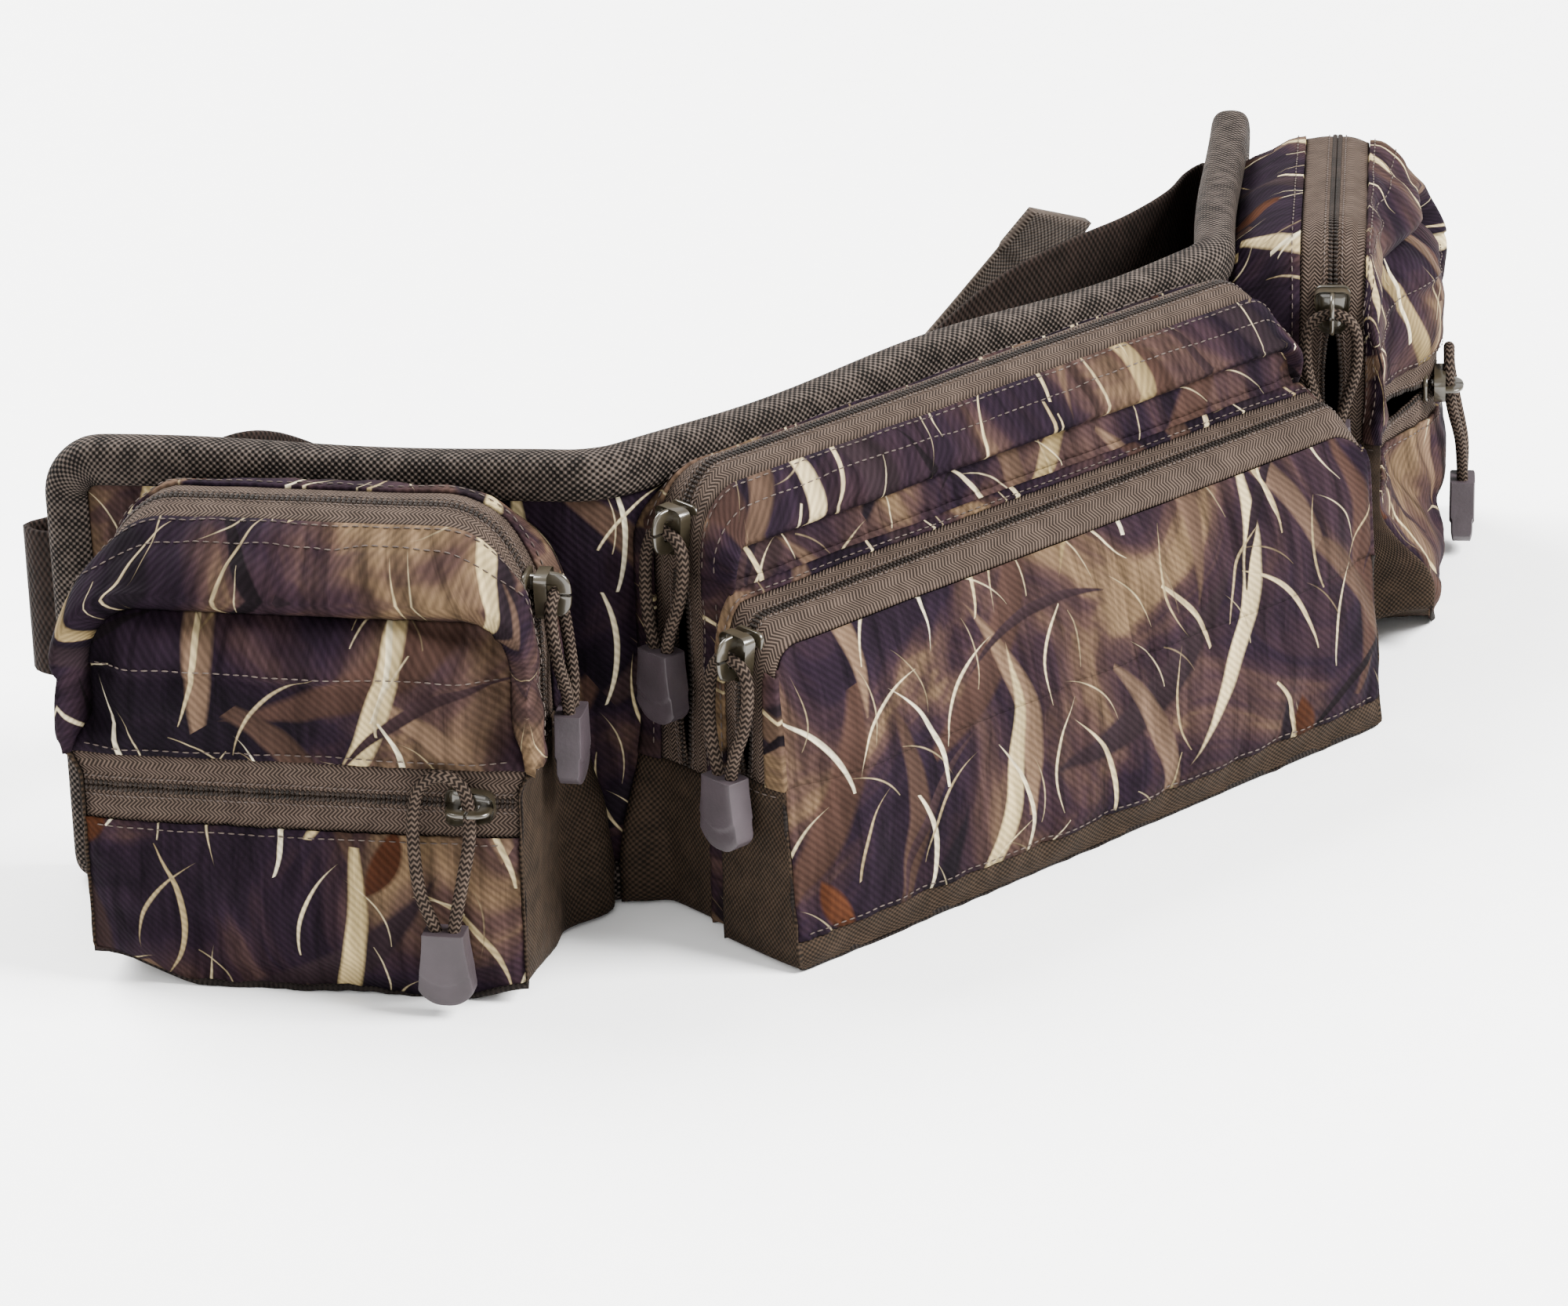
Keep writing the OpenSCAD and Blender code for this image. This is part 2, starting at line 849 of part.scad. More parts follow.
module pocket_cord_end(side) {
    color(end_col) at_side_pocket(side) hook_end();
}

module centre_main_slider() {
    color(slider_col) at_main_zip() slider_body();
}

module centre_main_pull_cord() {
    color(cord_col) at_main_zip() loop_cord();
}

module centre_main_cord_end() {
    color(end_col) at_main_zip() loop_end();
}

module front_pocket_slider() {
    color(slider_col) at_pocket_zip() slider_body();
}

module front_pocket_pull_cord() {
    color(cord_col) at_pocket_zip() loop_cord();
}

module front_pocket_cord_end() {
    color(end_col) at_pocket_zip() loop_end();
}

// Webbing: a flat band between an upper and a lower edge
function band_normal(upper, lower, i) =
    let (before = max(i - 1, 0))
    let (after = min(i + 1, len(upper) - 1))
    let (along_band = upper[after] + lower[after] - upper[before] - lower[before])
    unit(cross(along_band, lower[i] - upper[i]));

module band(upper, lower) {
    count = len(upper);
    points = [
        for (i = [0 : count - 1])
            let (n = band_normal(upper, lower, i) * web_t / 2)
            for (p = [upper[i] + n, lower[i] + n, lower[i] - n, upper[i] - n])
                p
    ];
    walls = [
        for (i = [0 : count - 2])
            for (k = [0 : 3])
                let (a = 4 * i + k)
                let (b = 4 * i + (k + 1) % 4)
                for (face = [[a, b, b + 4], [a, b + 4, a + 4]])
                    face
    ];
    last = 4 * (count - 1);
    ends = [[3, 2, 1, 0], [last, last + 1, last + 2, last + 3]];
    polyhedron(points = points, faces = concat(walls, ends));
}

web_b = panel_t + binding_t + web_t / 2 + 0.2;
function strap_edge(side, start, heights, run, end, shift) = concat(
    [
        for (i = [0 : len(start) - 1])
            let (p = wing_point(side, start[i][0], start[i][1] + web_b))
            [p[0], p[1], heights[i] + shift]
    ],
    [for (p = concat(run, [end])) [p[0], p[1], p[2] + shift]]
);

module strap(side, start, heights, run, end) {
    color(web_col)
        band(
            strap_edge(side, start, heights, run, end, web_w / 2),
            strap_edge(side, start, heights, run, end, -web_w / 2)
        );
}

module left_strap() {
    strap(-1, left_strap_start, left_strap_z, left_strap_run, left_strap_end);
}

module right_strap() {
    strap(1, right_strap_start, right_strap_z, right_strap_run, right_strap_end);
}

module strap_tail() {
    color(web_col)
        band(
            concat([tail_start + [0, 0, web_w / 2]], tail_upper),
            concat([tail_start - [0, 0, web_w / 2]], tail_lower)
        );
}

// Buckle: x along the belt from the mouth of the socket, z across the webbing
module buckle_loop() {
    slot_w = web_w + 2;
    difference() {
        translate([0, -buckle_t / 4, -buckle_w / 2]) cube([loop_l, buckle_t / 2, buckle_w]);
        translate([loop_bar, -buckle_t, -slot_w / 2]) cube([loop_l - loop_bar - 3, 2 * buckle_t, slot_w]);
    }
}

module socket_outer() {
    translate([-socket_l, -buckle_t / 2, -buckle_w / 2]) cube([socket_l, buckle_t, buckle_w]);
}

module buckle_socket() {
    room_t = buckle_t - 2 * buckle_wall;
    color(buckle_col)
        translate([buckle_x, buckle_y, buckle_z]) {
            difference() {
                socket_outer();
                translate([-socket_l + buckle_wall, -room_t / 2, -buckle_w / 2 + buckle_wall])
                    cube([socket_l, room_t, buckle_w - 2 * buckle_wall]);
                translate([-socket_l + button_inset, -room_t / 2, -buckle_w])
                    cube([socket_l - button_inset - button_lip, room_t, 2 * buckle_w]);
            }
            translate([-socket_l - loop_l, 0, 0]) buckle_loop();
        }
}

module buckle_plug() {
    room_t = buckle_t - 2 * buckle_wall - 2 * buckle_gap;
    reach = buckle_w / 2 - buckle_wall - buckle_gap;
    color(buckle_col)
        translate([buckle_x, buckle_y, buckle_z]) {
            for (z = [-reach, reach - prong_w])
                translate([-prong_l, -room_t / 2, z]) cube([prong_l + 1, room_t, prong_w]);
            translate([-prong_l + 6, -room_t / 2, -tongue_w / 2]) cube([prong_l - 5, room_t, tongue_w]);
            translate([buckle_gap, -buckle_t / 2, -buckle_w / 2])
                cube([plug_foot - buckle_gap, buckle_t, buckle_w]);
            translate([plug_foot, 0, 0]) buckle_loop();
        }
}

outer_panel();
foam_pad();
lining();
edge_binding();
lower_gusset(-1);  // left_lower_gusset
back_gusset(-1);  // left_back_gusset
front_gusset(-1);  // left_front_gusset
front_panel(-1);  // left_front_panel
pocket_panel(-1);  // left_pocket_panel
pocket_backing(-1);  // left_pocket_backing
main_zip_tape(-1);  // left_main_zip_tape
lid_zip_tape(-1);  // left_lid_zip_tape
pocket_zip_tapes(-1);  // left_pocket_zip_tapes
main_slider(-1);  // left_main_slider
main_pull_cord(-1);  // left_main_pull_cord
main_cord_end(-1);  // left_main_cord_end
pocket_slider(-1);  // left_pocket_slider
pocket_pull_cord(-1);  // left_pocket_pull_cord
pocket_cord_end(-1);  // left_pocket_cord_end
lower_gusset(1);  // right_lower_gusset
back_gusset(1);  // right_back_gusset
front_gusset(1);  // right_front_gusset
front_panel(1);  // right_front_panel
pocket_panel(1);  // right_pocket_panel
pocket_backing(1);  // right_pocket_backing
main_zip_tape(1);  // right_main_zip_tape
lid_zip_tape(1);  // right_lid_zip_tape
pocket_zip_tapes(1);  // right_pocket_zip_tapes
main_slider(1);  // right_main_slider
main_pull_cord(1);  // right_main_pull_cord
main_cord_end(1);  // right_main_cord_end
pocket_slider(1);  // right_pocket_slider
pocket_pull_cord(1);  // right_pocket_pull_cord
pocket_cord_end(1);  // right_pocket_cord_end
centre_lower_gusset();
centre_back_gusset();
centre_front_wall();
centre_lid();
centre_main_zip_tape();
centre_lid_zip_tape();
centre_main_slider();
centre_main_pull_cord();
centre_main_cord_end();
front_pocket_gusset();
front_pocket_panel();
front_pocket_lid();
front_pocket_zip_tape();
front_pocket_lid_zip_tape();
front_pocket_slider();
front_pocket_pull_cord();
front_pocket_cord_end();
left_strap();
right_strap();
strap_tail();
buckle_socket();
buckle_plug();
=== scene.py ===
# %% [markdown]
# # A waist pack with three zipped pouches
# The pack is sewn from printed cloth on a padded belt panel. This lesson dresses the rigid CAD
# frame as the real thing: cloth shells that swell between their seams, woven zip tapes, moulded
# cord ends on knitted loops, and a webbing belt. Lengths are in millimetres until a mesh is
# written, because that is how a pack maker measures.

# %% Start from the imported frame
import math

import bpy
import numpy as np
from mathutils import Matrix, Vector, noise
from mathutils.kdtree import KDTree


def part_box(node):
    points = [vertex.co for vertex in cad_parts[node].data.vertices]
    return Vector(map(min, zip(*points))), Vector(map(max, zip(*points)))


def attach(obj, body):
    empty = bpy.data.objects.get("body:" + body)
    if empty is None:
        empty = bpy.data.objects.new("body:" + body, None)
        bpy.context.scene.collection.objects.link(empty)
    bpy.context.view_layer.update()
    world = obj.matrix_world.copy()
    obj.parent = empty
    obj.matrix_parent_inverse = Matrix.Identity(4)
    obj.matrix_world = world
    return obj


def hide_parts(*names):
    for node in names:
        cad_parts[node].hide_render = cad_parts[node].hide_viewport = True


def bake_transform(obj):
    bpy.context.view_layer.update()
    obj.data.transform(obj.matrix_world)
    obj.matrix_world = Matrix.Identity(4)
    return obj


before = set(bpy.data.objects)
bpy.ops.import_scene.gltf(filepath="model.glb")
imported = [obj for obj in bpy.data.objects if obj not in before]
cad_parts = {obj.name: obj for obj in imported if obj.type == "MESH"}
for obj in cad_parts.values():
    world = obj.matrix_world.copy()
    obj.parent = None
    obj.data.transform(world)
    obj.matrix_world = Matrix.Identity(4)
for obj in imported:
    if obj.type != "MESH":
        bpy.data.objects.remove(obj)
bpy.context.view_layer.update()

MM = 0.001

# %% [markdown]
# ## Camera
# The photograph was taken from the front left with a long lens, a little above the pack. Bearing,
# height and roll are set directly, so the picture stays the same when pieces change.

# %% Camera
BEARING, HEIGHT, ROLL = (math.radians(x) for x in (-41.63, 23.16, -1.65))
AIM = Vector((0.00161, 0.09865, 0.0202))
DISTANCE = 2.0115

bpy.ops.object.camera_add()
camera = bpy.context.object
camera.name = "photo_camera"
back = Vector((
    math.sin(BEARING) * math.cos(HEIGHT),
    -math.cos(BEARING) * math.cos(HEIGHT),
    math.sin(HEIGHT),
))
level = Vector((0, 0, 1)).cross(back).normalized()
above = back.cross(level)
right_of = math.cos(ROLL) * level + math.sin(ROLL) * above
up_of = math.cos(ROLL) * above - math.sin(ROLL) * level
turn = Matrix((right_of, up_of, back)).transposed().to_4x4()
turn.translation = AIM + back * DISTANCE
camera.matrix_world = turn
camera.data.sensor_width = 36
camera.data.lens = 136
camera.data.clip_end = 50
bpy.context.scene.camera = camera
print("camera at", [round(x, 3) for x in camera.location])

# %% [markdown]
# ## Stage and light
# A white floor and three large soft lamps give the even light of a catalogue picture. The key lamp
# stands to the right of the camera, so the front pocket is bright and the left pouch darker. The light
# is strong enough to burn the floor almost white, as in the photograph.

# %% Stage and light
bpy.ops.mesh.primitive_grid_add(x_subdivisions=8, y_subdivisions=8, size=30, location=(0, 0, -0.0005))
floor = bpy.context.object
floor.name = "floor"
LAMP_AIM = Vector((0, 0.05, 0.07))
LAMPS = [
    ("key_lamp", (1.3, -2.1, 2.4), 1.5, 540),
    ("fill_lamp", (-2.2, -1.0, 1.4), 1.8, 45),
    ("rear_lamp", (-0.3, 2.2, 2.4), 2.0, 390),
]
for name, at, size, power in LAMPS:
    bpy.ops.object.light_add(type="AREA", location=at)
    lamp = bpy.context.object
    lamp.name = name
    lamp.data.size = size
    lamp.data.energy = power
    lamp.rotation_euler = (LAMP_AIM - Vector(at)).to_track_quat("-Z", "Y").to_euler()
world = bpy.data.worlds.new("studio")
bpy.context.scene.world = world
world.use_nodes = True
sky = world.node_tree.nodes["Background"]
sky.inputs["Color"].default_value = (1, 1, 1, 1)
sky.inputs["Strength"].default_value = 1.15
print(len(LAMPS), "lamps")

# %% [markdown]
# ## Where things are
# The belt panel is straight in the middle and bends back at two wings. A wing has its own frame:
# u runs from its end towards the middle, v comes out of its face. The same numbers made the CAD.

# %% Frames of the panel and its wings
CENTRE_LEN, BEND_R, PANEL_Y, PANEL_T = 254, 26, 22, 7.4
WING = {-1: (164, 52), 1: (146, 42)}
POUCH_U = {-1: 24, 1: 8}
POUCH_W, POUCH_D, MAIN_V = 140, 72, 36
SIDE_NAME = {-1: "left", 1: "right"}


def wing_axes(side):
    length, bend = WING[side]
    a = math.radians(bend)
    along = np.array([side * math.cos(a), math.sin(a), 0])
    out = np.array([side * math.sin(a), -math.cos(a), 0])
    foot = np.array([
        side * (CENTRE_LEN / 2 + BEND_R * math.sin(a)),
        PANEL_Y + BEND_R * (1 - math.cos(a)),
        0,
    ])
    return foot + length * along, -along, out


def wing_place(side, u, v, z):
    end, inward, out = wing_axes(side)
    u, v, z = np.broadcast_arrays(*(np.asarray(x, float) for x in (u, v, z)))
    return end + u[..., None] * inward + v[..., None] * out + z[..., None] * [0, 0, 1]


def centre_place(x, v, z):
    x, v, z = np.broadcast_arrays(*(np.asarray(q, float) for q in (x, v, z)))
    return np.stack([x, PANEL_Y - v, z], -1)


# %% Frames of the sliders
PULLS = ["left_main", "left_pocket", "right_main", "right_pocket", "centre_main", "front_pocket"]
SLIDER_Z = {"left": 121, "right": 125, "centre": 131, "pocket": 101}
POCKET_SLIDER = {-1: (124, 66), 1: (54, 66)}
FRONT_SLIDER = {"centre": (-128, 21), "pocket": (-134, 56)}


def slider_frame(name):
    """Origin, outward, across and up of a slider's own frame."""
    up = np.array([0.0, 0, 1])
    for side in (-1, 1):
        nm = SIDE_NAME[side]
        _, inward, out = wing_axes(side)
        if name == nm + "_main":
            return wing_place(side, POUCH_U[side] + POUCH_W, MAIN_V, SLIDER_Z[nm]), inward, -out, up
        if name == nm + "_pocket":
            u, z = POCKET_SLIDER[side]
            return wing_place(side, POUCH_U[side] + u, POUCH_D, z), out, inward, up
    nm = "centre" if name == "centre_main" else "pocket"
    x, v = FRONT_SLIDER[nm]
    return centre_place(x, v, SLIDER_Z[nm]), np.array([-1.0, 0, 0]), np.array([0, -1.0, 0]), up


for name in PULLS:
    low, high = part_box(name + "_slider")
    centre = (np.array(low) + np.array(high)) / 2 / MM
    print(name, "slider is", np.round(np.linalg.norm(centre - slider_frame(name)[0]), 1), "mm from its frame")

# %% [markdown]
# ## Finishes
# Every finish starts from the real material. Two helpers do most of the wiring: one turns an sRGB hex
# code into the linear colour that the renderer works in, one adds a node with its values and links.
# Patterns that follow the cloth read the UV map, which every piece here carries in millimetres.

# %% Helpers for finishes
def linear(code):
    parts = [int(code[i:i + 2], 16) / 255 for i in (1, 3, 5)]
    return tuple(c / 12.92 if c <= 0.04045 else ((c + 0.055) / 1.055) ** 2.4 for c in parts) + (1.0,)


def result(node):
    return next(socket for socket in node.outputs if socket.enabled)


def add(tree, kind, inputs=None, stops=(), **settings):
    """Add a node; inputs are values, sockets or nodes, stops are the colours of a ramp."""
    node = tree.nodes.new("ShaderNode" + kind)
    for key, value in settings.items():
        setattr(node, key, value)
    for k, (at, code) in enumerate(stops):
        elements = node.color_ramp.elements
        element = elements[k] if k < len(elements) else elements.new(at)
        element.position, element.color = at, linear(code)
    for socket, value in (inputs or {}).items():
        if isinstance(value, bpy.types.Node):
            value = result(value)
        if isinstance(value, bpy.types.NodeSocket):
            tree.links.new(value, node.inputs[socket])
        else:
            node.inputs[socket].default_value = value
    return node


def finish(name, rough, gloss=0.5, metal=0.0, coat=0.0):
    """A new material, its tree and its shader."""
    material = bpy.data.materials.new(name)
    material.use_nodes = True
    shader = material.node_tree.nodes["Principled BSDF"]
    shader.inputs["Roughness"].default_value = rough
    shader.inputs["IOR"].default_value = 1.5
    shader.inputs["Specular IOR Level"].default_value = gloss
    shader.inputs["Metallic"].default_value = metal
    shader.inputs["Coat Weight"].default_value = coat
    return material, material.node_tree, shader


def dye(tree, shader, colour, height, strength, depth):
    """Give a shader its colour and its bump; depth is in metres."""
    bump = add(tree, "Bump", {"Height": height, "Strength": strength, "Distance": depth})
    tree.links.new(result(colour), shader.inputs["Base Color"])
    tree.links.new(result(bump), shader.inputs["Normal"])


FINISHES = {}
print("helpers for finishes are ready")

# %% [markdown]
# ### Printed cloth
# A matt polyester twill with a dark marsh print. The print here is a design of its own: soft brown and
# plum shade about 80 mm across with upright streaks, and over it eight layers of loose pointed blades,
# from broad blurred ones 100 mm long to pale grass 1 mm wide and a few rust coloured leaves. In a layer,
# each cell of a Voronoi texture holds one blade, turned, bowed and tinted by the cell's own colour.
# Cut pieces don't match at their seams, as on a sewn pack, because the print follows the UV map.

# %% Ground of the print
material, tree, shader = finish("printed_polyester_twill", 0.85, gloss=0.04)
uv = add(tree, "TexCoord").outputs["UV"]
blotch = add(tree, "TexNoise", {
    "Vector": uv, "Scale": 1 / 80, "Detail": 5, "Roughness": 0.55, "Distortion": 0.8,
}, noise_dimensions="2D")
ground = add(tree, "ValToRGB", {"Fac": blotch}, stops=[
    (0.31, "#50402f"), (0.39, "#332521"), (0.47, "#21161a"), (0.55, "#160e16"), (0.68, "#0c070d"),
])
tall = add(tree, "Mapping", {"Vector": uv, "Rotation": (0, 0, 0.3), "Scale": (1, 0.12, 1)})
streak = add(tree, "TexNoise", {
    "Vector": tall, "Scale": 1 / 5, "Detail": 6, "Roughness": 0.65, "Distortion": 0.4,
}, noise_dimensions="2D")
grain = add(tree, "MapRange", {
    "Value": streak, "From Min": 0.3, "From Max": 0.7, "To Min": 0.5, "To Max": 1.5,
})
layer = add(tree, "Mix", {"Factor": 1.0, "A": ground, "B": grain}, data_type="RGBA", blend_type="MULTIPLY")

# %% Blades of the print
BLADES = [
    # cell, base turn, spread of turns, half length, half width, bow, share of cells, tints
    (84, 0.5, 1.2, 52, 7.5, 0.005, 0.8, ("#120d12", "#20171a", "#35251f")),
    (70, -0.4, 1.0, 44, 5.0, 0.006, 0.7, ("#41322a", "#5f4c3c", "#33251f")),
    (92, 0.35, 0.7, 56, 4.2, 0.004, 0.6, ("#6d5d40", "#998761", "#ab9a75")),
    (58, 1.1, 1.6, 34, 2.2, -0.008, 0.5, ("#1a1216", "#2c1f20", "#0f0a0d")),
    (44, -0.25, 0.9, 28, 1.1, 0.012, 0.6, ("#827253", "#ad9e7b", "#bdb399")),
    (34, 0.3, 1.5, 21, 0.75, -0.016, 0.6, ("#7f7053", "#b2a586", "#a1926f")),
    (23, -0.5, 1.3, 15, 0.42, 0.02, 0.45, ("#5c4f3c", "#8f8163", "#a5987a")),
    (76, 1.4, 3.0, 13, 5.0, 0.01, 0.3, ("#2f1a10", "#3f2314", "#2a160e")),
]
for k, (cell, turn, spread, half_long, half_wide, bow, share, tints) in enumerate(BLADES):
    moved = add(tree, "VectorMath", {0: uv, 1: (137.0 * k, 91.0 * k, 0)}, operation="ADD")
    place = {"Vector": moved, "Scale": 1 / cell, "Randomness": 0.75}
    cells = add(tree, "TexVoronoi", place, voronoi_dimensions="2D")
    pick = add(tree, "SeparateColor", {"Color": cells.outputs["Color"]})
    inside = add(tree, "VectorMath", {0: moved, 1: cells.outputs["Position"]}, operation="SUBTRACT")
    angle = add(tree, "Math", {0: pick.outputs["Blue"], 1: spread, 2: turn - spread / 2}, operation="MULTIPLY_ADD")
    own = add(tree, "VectorRotate", {"Vector": inside, "Angle": angle}, rotation_type="Z_AXIS")
    axes = add(tree, "SeparateXYZ", {"Vector": own})
    square = add(tree, "Math", {0: axes.outputs["Y"], 1: axes.outputs["Y"]}, operation="MULTIPLY")
    bowed = add(tree, "Math", {0: square, 1: bow, 2: axes.outputs["X"]}, operation="MULTIPLY_ADD")
    room = add(tree, "Math", {0: square, 1: -half_wide / half_long ** 2, 2: half_wide}, operation="MULTIPLY_ADD")
    away = add(tree, "Math", {0: bowed}, operation="ABSOLUTE")
    spare = add(tree, "Math", {0: room, 1: away}, operation="SUBTRACT")
    blade = add(tree, "MapRange", {"Value": spare, "From Min": 0, "From Max": max(0.4, 0.28 * half_wide)})
    chosen = add(tree, "Math", {0: pick.outputs["Green"], 1: share}, operation="LESS_THAN")
    mask = add(tree, "Math", {0: blade, 1: chosen}, operation="MULTIPLY")
    colour = add(tree, "ValToRGB", {"Fac": pick.outputs["Red"]}, stops=[
        (0.15, tints[0]), (0.5, tints[1]), (0.85, tints[2]),
    ])
    rounded = add(tree, "MapRange", {
        "Value": bowed, "From Min": -half_wide, "From Max": half_wide, "To Min": 1.15, "To Max": 0.5,
    })
    shaded = add(tree, "Mix", {"Factor": 0.8, "A": colour, "B": rounded}, data_type="RGBA", blend_type="MULTIPLY")
    veined = add(tree, "Mix", {"Factor": 0.55, "A": shaded, "B": grain}, data_type="RGBA", blend_type="MULTIPLY")
    layer = add(tree, "Mix", {"Factor": mask, "A": layer, "B": veined}, data_type="RGBA")
print(len(BLADES), "layers of blades")

# %% [markdown]
# The twill's ribs are drawn 1.4 mm apart, coarser than real, so that they show. They paint a little shade on the
# print between the threads and give the cloth its brushed bump.

# %% Twill of the printed cloth
ribs = add(tree, "TexWave", {
    "Vector": uv, "Scale": 0.314 / 1.4, "Distortion": 0.8, "Detail": 2, "Detail Scale": 2.0,
}, bands_direction="DIAGONAL")
# painted shade: the ribs darken the print between the threads
shade = add(tree, "Mix", {
    "Factor": 0.3, "A": layer, "B": ribs.outputs["Color"],
}, data_type="RGBA", blend_type="MULTIPLY")
dye(tree, shader, shade, ribs.outputs["Fac"], 0.45, 0.0003)
FINISHES["print"] = material
print("made", material.name, "with", len(tree.nodes), "nodes")

# %% [markdown]
# ### Woven finishes
# Coarse nylon pack cloth, herringbone zip tape, pebbled binding and belt webbing are all weaves. Each
# is drawn from the same few nodes: waves along the warp and across it, in millimetres of the UV map.
# The colour follows the height of the threads: small bright thread crowns, with painted shade in the gaps between
# them.

# %% Woven finishes
def weave(name, crown, gap, along, across=0.0, chevron=0.0, depth=0.0004, painted_shade_until=0.34):
    """Threads every along mm, crossed every across mm or in herringbone columns chevron mm wide; crown is the colour
    of the thread tops and gap the painted shade between the threads.
    """
    material, tree, shader = finish(name, 0.82, gloss=0.06)
    coordinate = add(tree, "TexCoord")
    axes = add(tree, "SeparateXYZ", {"Vector": coordinate.outputs["UV"]})
    run, side = axes.outputs["X"], axes.outputs["Y"]
    if chevron:
        zigzag = add(tree, "Math", {0: side, 1: chevron}, operation="PINGPONG")
        run = add(tree, "Math", {0: run, 1: zigzag}, operation="ADD")
    turned = add(tree, "Math", {0: run, 1: 2 * math.pi / along}, operation="MULTIPLY")
    high = add(tree, "Math", {0: turned}, operation="SINE")
    if not chevron:
        crossed = add(tree, "Math", {0: side, 1: 2 * math.pi / across}, operation="MULTIPLY")
        weft = add(tree, "Math", {0: crossed}, operation="SINE")
        high = add(tree, "Math", {0: high, 1: weft}, operation="MULTIPLY")
    height = add(tree, "MapRange", {"Value": high, "From Min": -1, "From Max": 1})
    worn = add(tree, "TexNoise", {"Vector": coordinate.outputs["Object"], "Scale": 160, "Detail": 4})
    dust = add(tree, "Math", {0: worn, 1: 0.5}, operation="MULTIPLY")
    # painted shade: the tone runs from the gap colour to the crown colour with the thread height, so the gaps between
    # threads are painted dark
    tone = add(tree, "Math", {0: height, 1: 0.62, 2: dust}, operation="MULTIPLY_ADD")
    colour = add(tree, "ValToRGB", {"Fac": tone}, stops=[(painted_shade_until, gap), (0.88, crown)])
    dye(tree, shader, colour, height, 0.8, depth)
    print("made", name)
    return material


# The second colour of each weave is the painted shade in the gaps between its threads.
FINISHES["plain"] = weave("coarse_nylon_pack_cloth", "#33281f", "#120e0a", 2.0, 1.6)
FINISHES["tape"] = weave("herringbone_zip_tape", "#4b3f37", "#1b1511", 1.35, chevron=2.1)
FINISHES["binding"] = weave("pebbled_woven_binding", "#4e453f", "#080605", 2.2, 2.0, depth=0.0008, painted_shade_until=0.46)
FINISHES["webbing"] = weave("nylon_belt_webbing", "#281f1b", "#0d0a08", 2.0, 3.4, depth=0.0006)
# The strap tail gets the belt webbing again, in paler colours.
FINISHES["tail"] = weave("pale_side_of_webbing", "#4f463f", "#221c18", 2.0, 3.4, depth=0.0006)
FINISHES["lining"] = weave("dark_lining_cloth", "#221d1a", "#0e0b0a", 1.6, 1.6)
FINISHES["cord"] = weave("knitted_polyester_cord", "#463b33", "#120d0a", 1.8, chevron=1.0472, depth=0.0006)

# %% [markdown]
# ### Thread, plastic and metal
# The cord ends are soft moulded plastic, matt with a fine grain. The sliders are zinc castings under a
# glossy olive brown enamel. The thread is twisted polyester, the zip coils are nylon, and the buckle is
# dark acetal with a satin mould finish. Broad noise stands for handling, fine noise for the grain.

# %% Thread, plastic and metal
def moulded(name, colour, worn, rough, grain_mm, depth, gloss=0.3, metal=0.0, coat=0.0):
    material, tree, shader = finish(name, rough, gloss, metal, coat)
    place = add(tree, "TexCoord").outputs["Object"]
    grain = add(tree, "TexNoise", {"Vector": place, "Scale": 1000 / grain_mm, "Detail": 3})
    broad = add(tree, "TexNoise", {"Vector": place, "Scale": 90, "Detail": 3})
    tone = add(tree, "ValToRGB", {"Fac": broad}, stops=[(0.35, colour), (0.7, worn)])
    dye(tree, shader, tone, grain, 0.4, depth)
    print("made", name)
    return material


FINISHES["cord_end"] = moulded("soft_moulded_plastic", "#282124", "#31292d", 0.55, 1.2, 0.0002)
FINISHES["metal"] = moulded("enamelled_zinc_casting", "#2b261c", "#383226", 0.28, 3.0, 0.0001, 0.5, 0.3, 0.5)
FINISHES["buckle"] = moulded("satin_acetal", "#120f0e", "#191514", 0.42, 0.8, 0.0001)
FINISHES["thread"] = moulded("twisted_polyester_thread", "#3b332f", "#4d443f", 0.8, 0.8, 0.0002, 0.1)
FINISHES["coil"] = moulded("nylon_zip_coil", "#15110e", "#241d19", 0.6, 1.0, 0.0001, 0.12)
FINISHES["floor"] = moulded("white_studio_floor", "#fbfbfa", "#fdfdfc", 0.9, 4.0, 0.0001, 0.0)
floor.data.materials.append(FINISHES["floor"])

# %% [markdown]
# ## Helpers for soft pieces
# Cloth starts as a flat grid of quads, as a cut piece does, and its points are then laid where the
# sewn piece is. A line through a few points becomes a smooth line with even steps. The UV map of
# every grid is written in millimetres, so that a weave keeps its real size.

# %% Lines
def run_of(line):
    return np.r_[0, np.cumsum(np.linalg.norm(np.diff(line, axis=0), axis=1))]


def evenly(line, step):
    line = np.asarray(line, float)
    run = run_of(line)
    at = np.linspace(0, run[-1], max(2, int(round(run[-1] / step)) + 1))
    return np.stack([np.interp(at, run, line[:, k]) for k in range(line.shape[1])], 1)


def smooth_line(points, step):
    p = np.asarray(points, float)
    p = np.vstack([2 * p[0] - p[1], p, 2 * p[-1] - p[-2]])
    t = np.linspace(0, 1, 16, endpoint=False)[:, None]
    fine = []
    for a, b, c, d in zip(p, p[1:], p[2:], p[3:]):
        fine.append(0.5 * (
            2 * b + (c - a) * t + (2 * a - 5 * b + 4 * c - d) * t ** 2 + (3 * b - a - 3 * c + d) * t ** 3
        ))
    return evenly(np.vstack(fine + [p[-2][None]]), step)


def ease(t):
    t = np.clip(t, 0, 1)
    return t * t * (3 - 2 * t)


def tree_of(points):
    """Search tree that finds the nearest of some points."""
    tree = KDTree(len(points))
    for i, p in enumerate(points):
        tree.insert(p, i)
    tree.balance()
    return tree


print("helpers for lines are ready")


# %% Grids
def only(*objects):
    bpy.ops.object.select_all(action="DESELECT")
    for o in objects:
        o.select_set(True)
    bpy.context.view_layer.objects.active = objects[0]


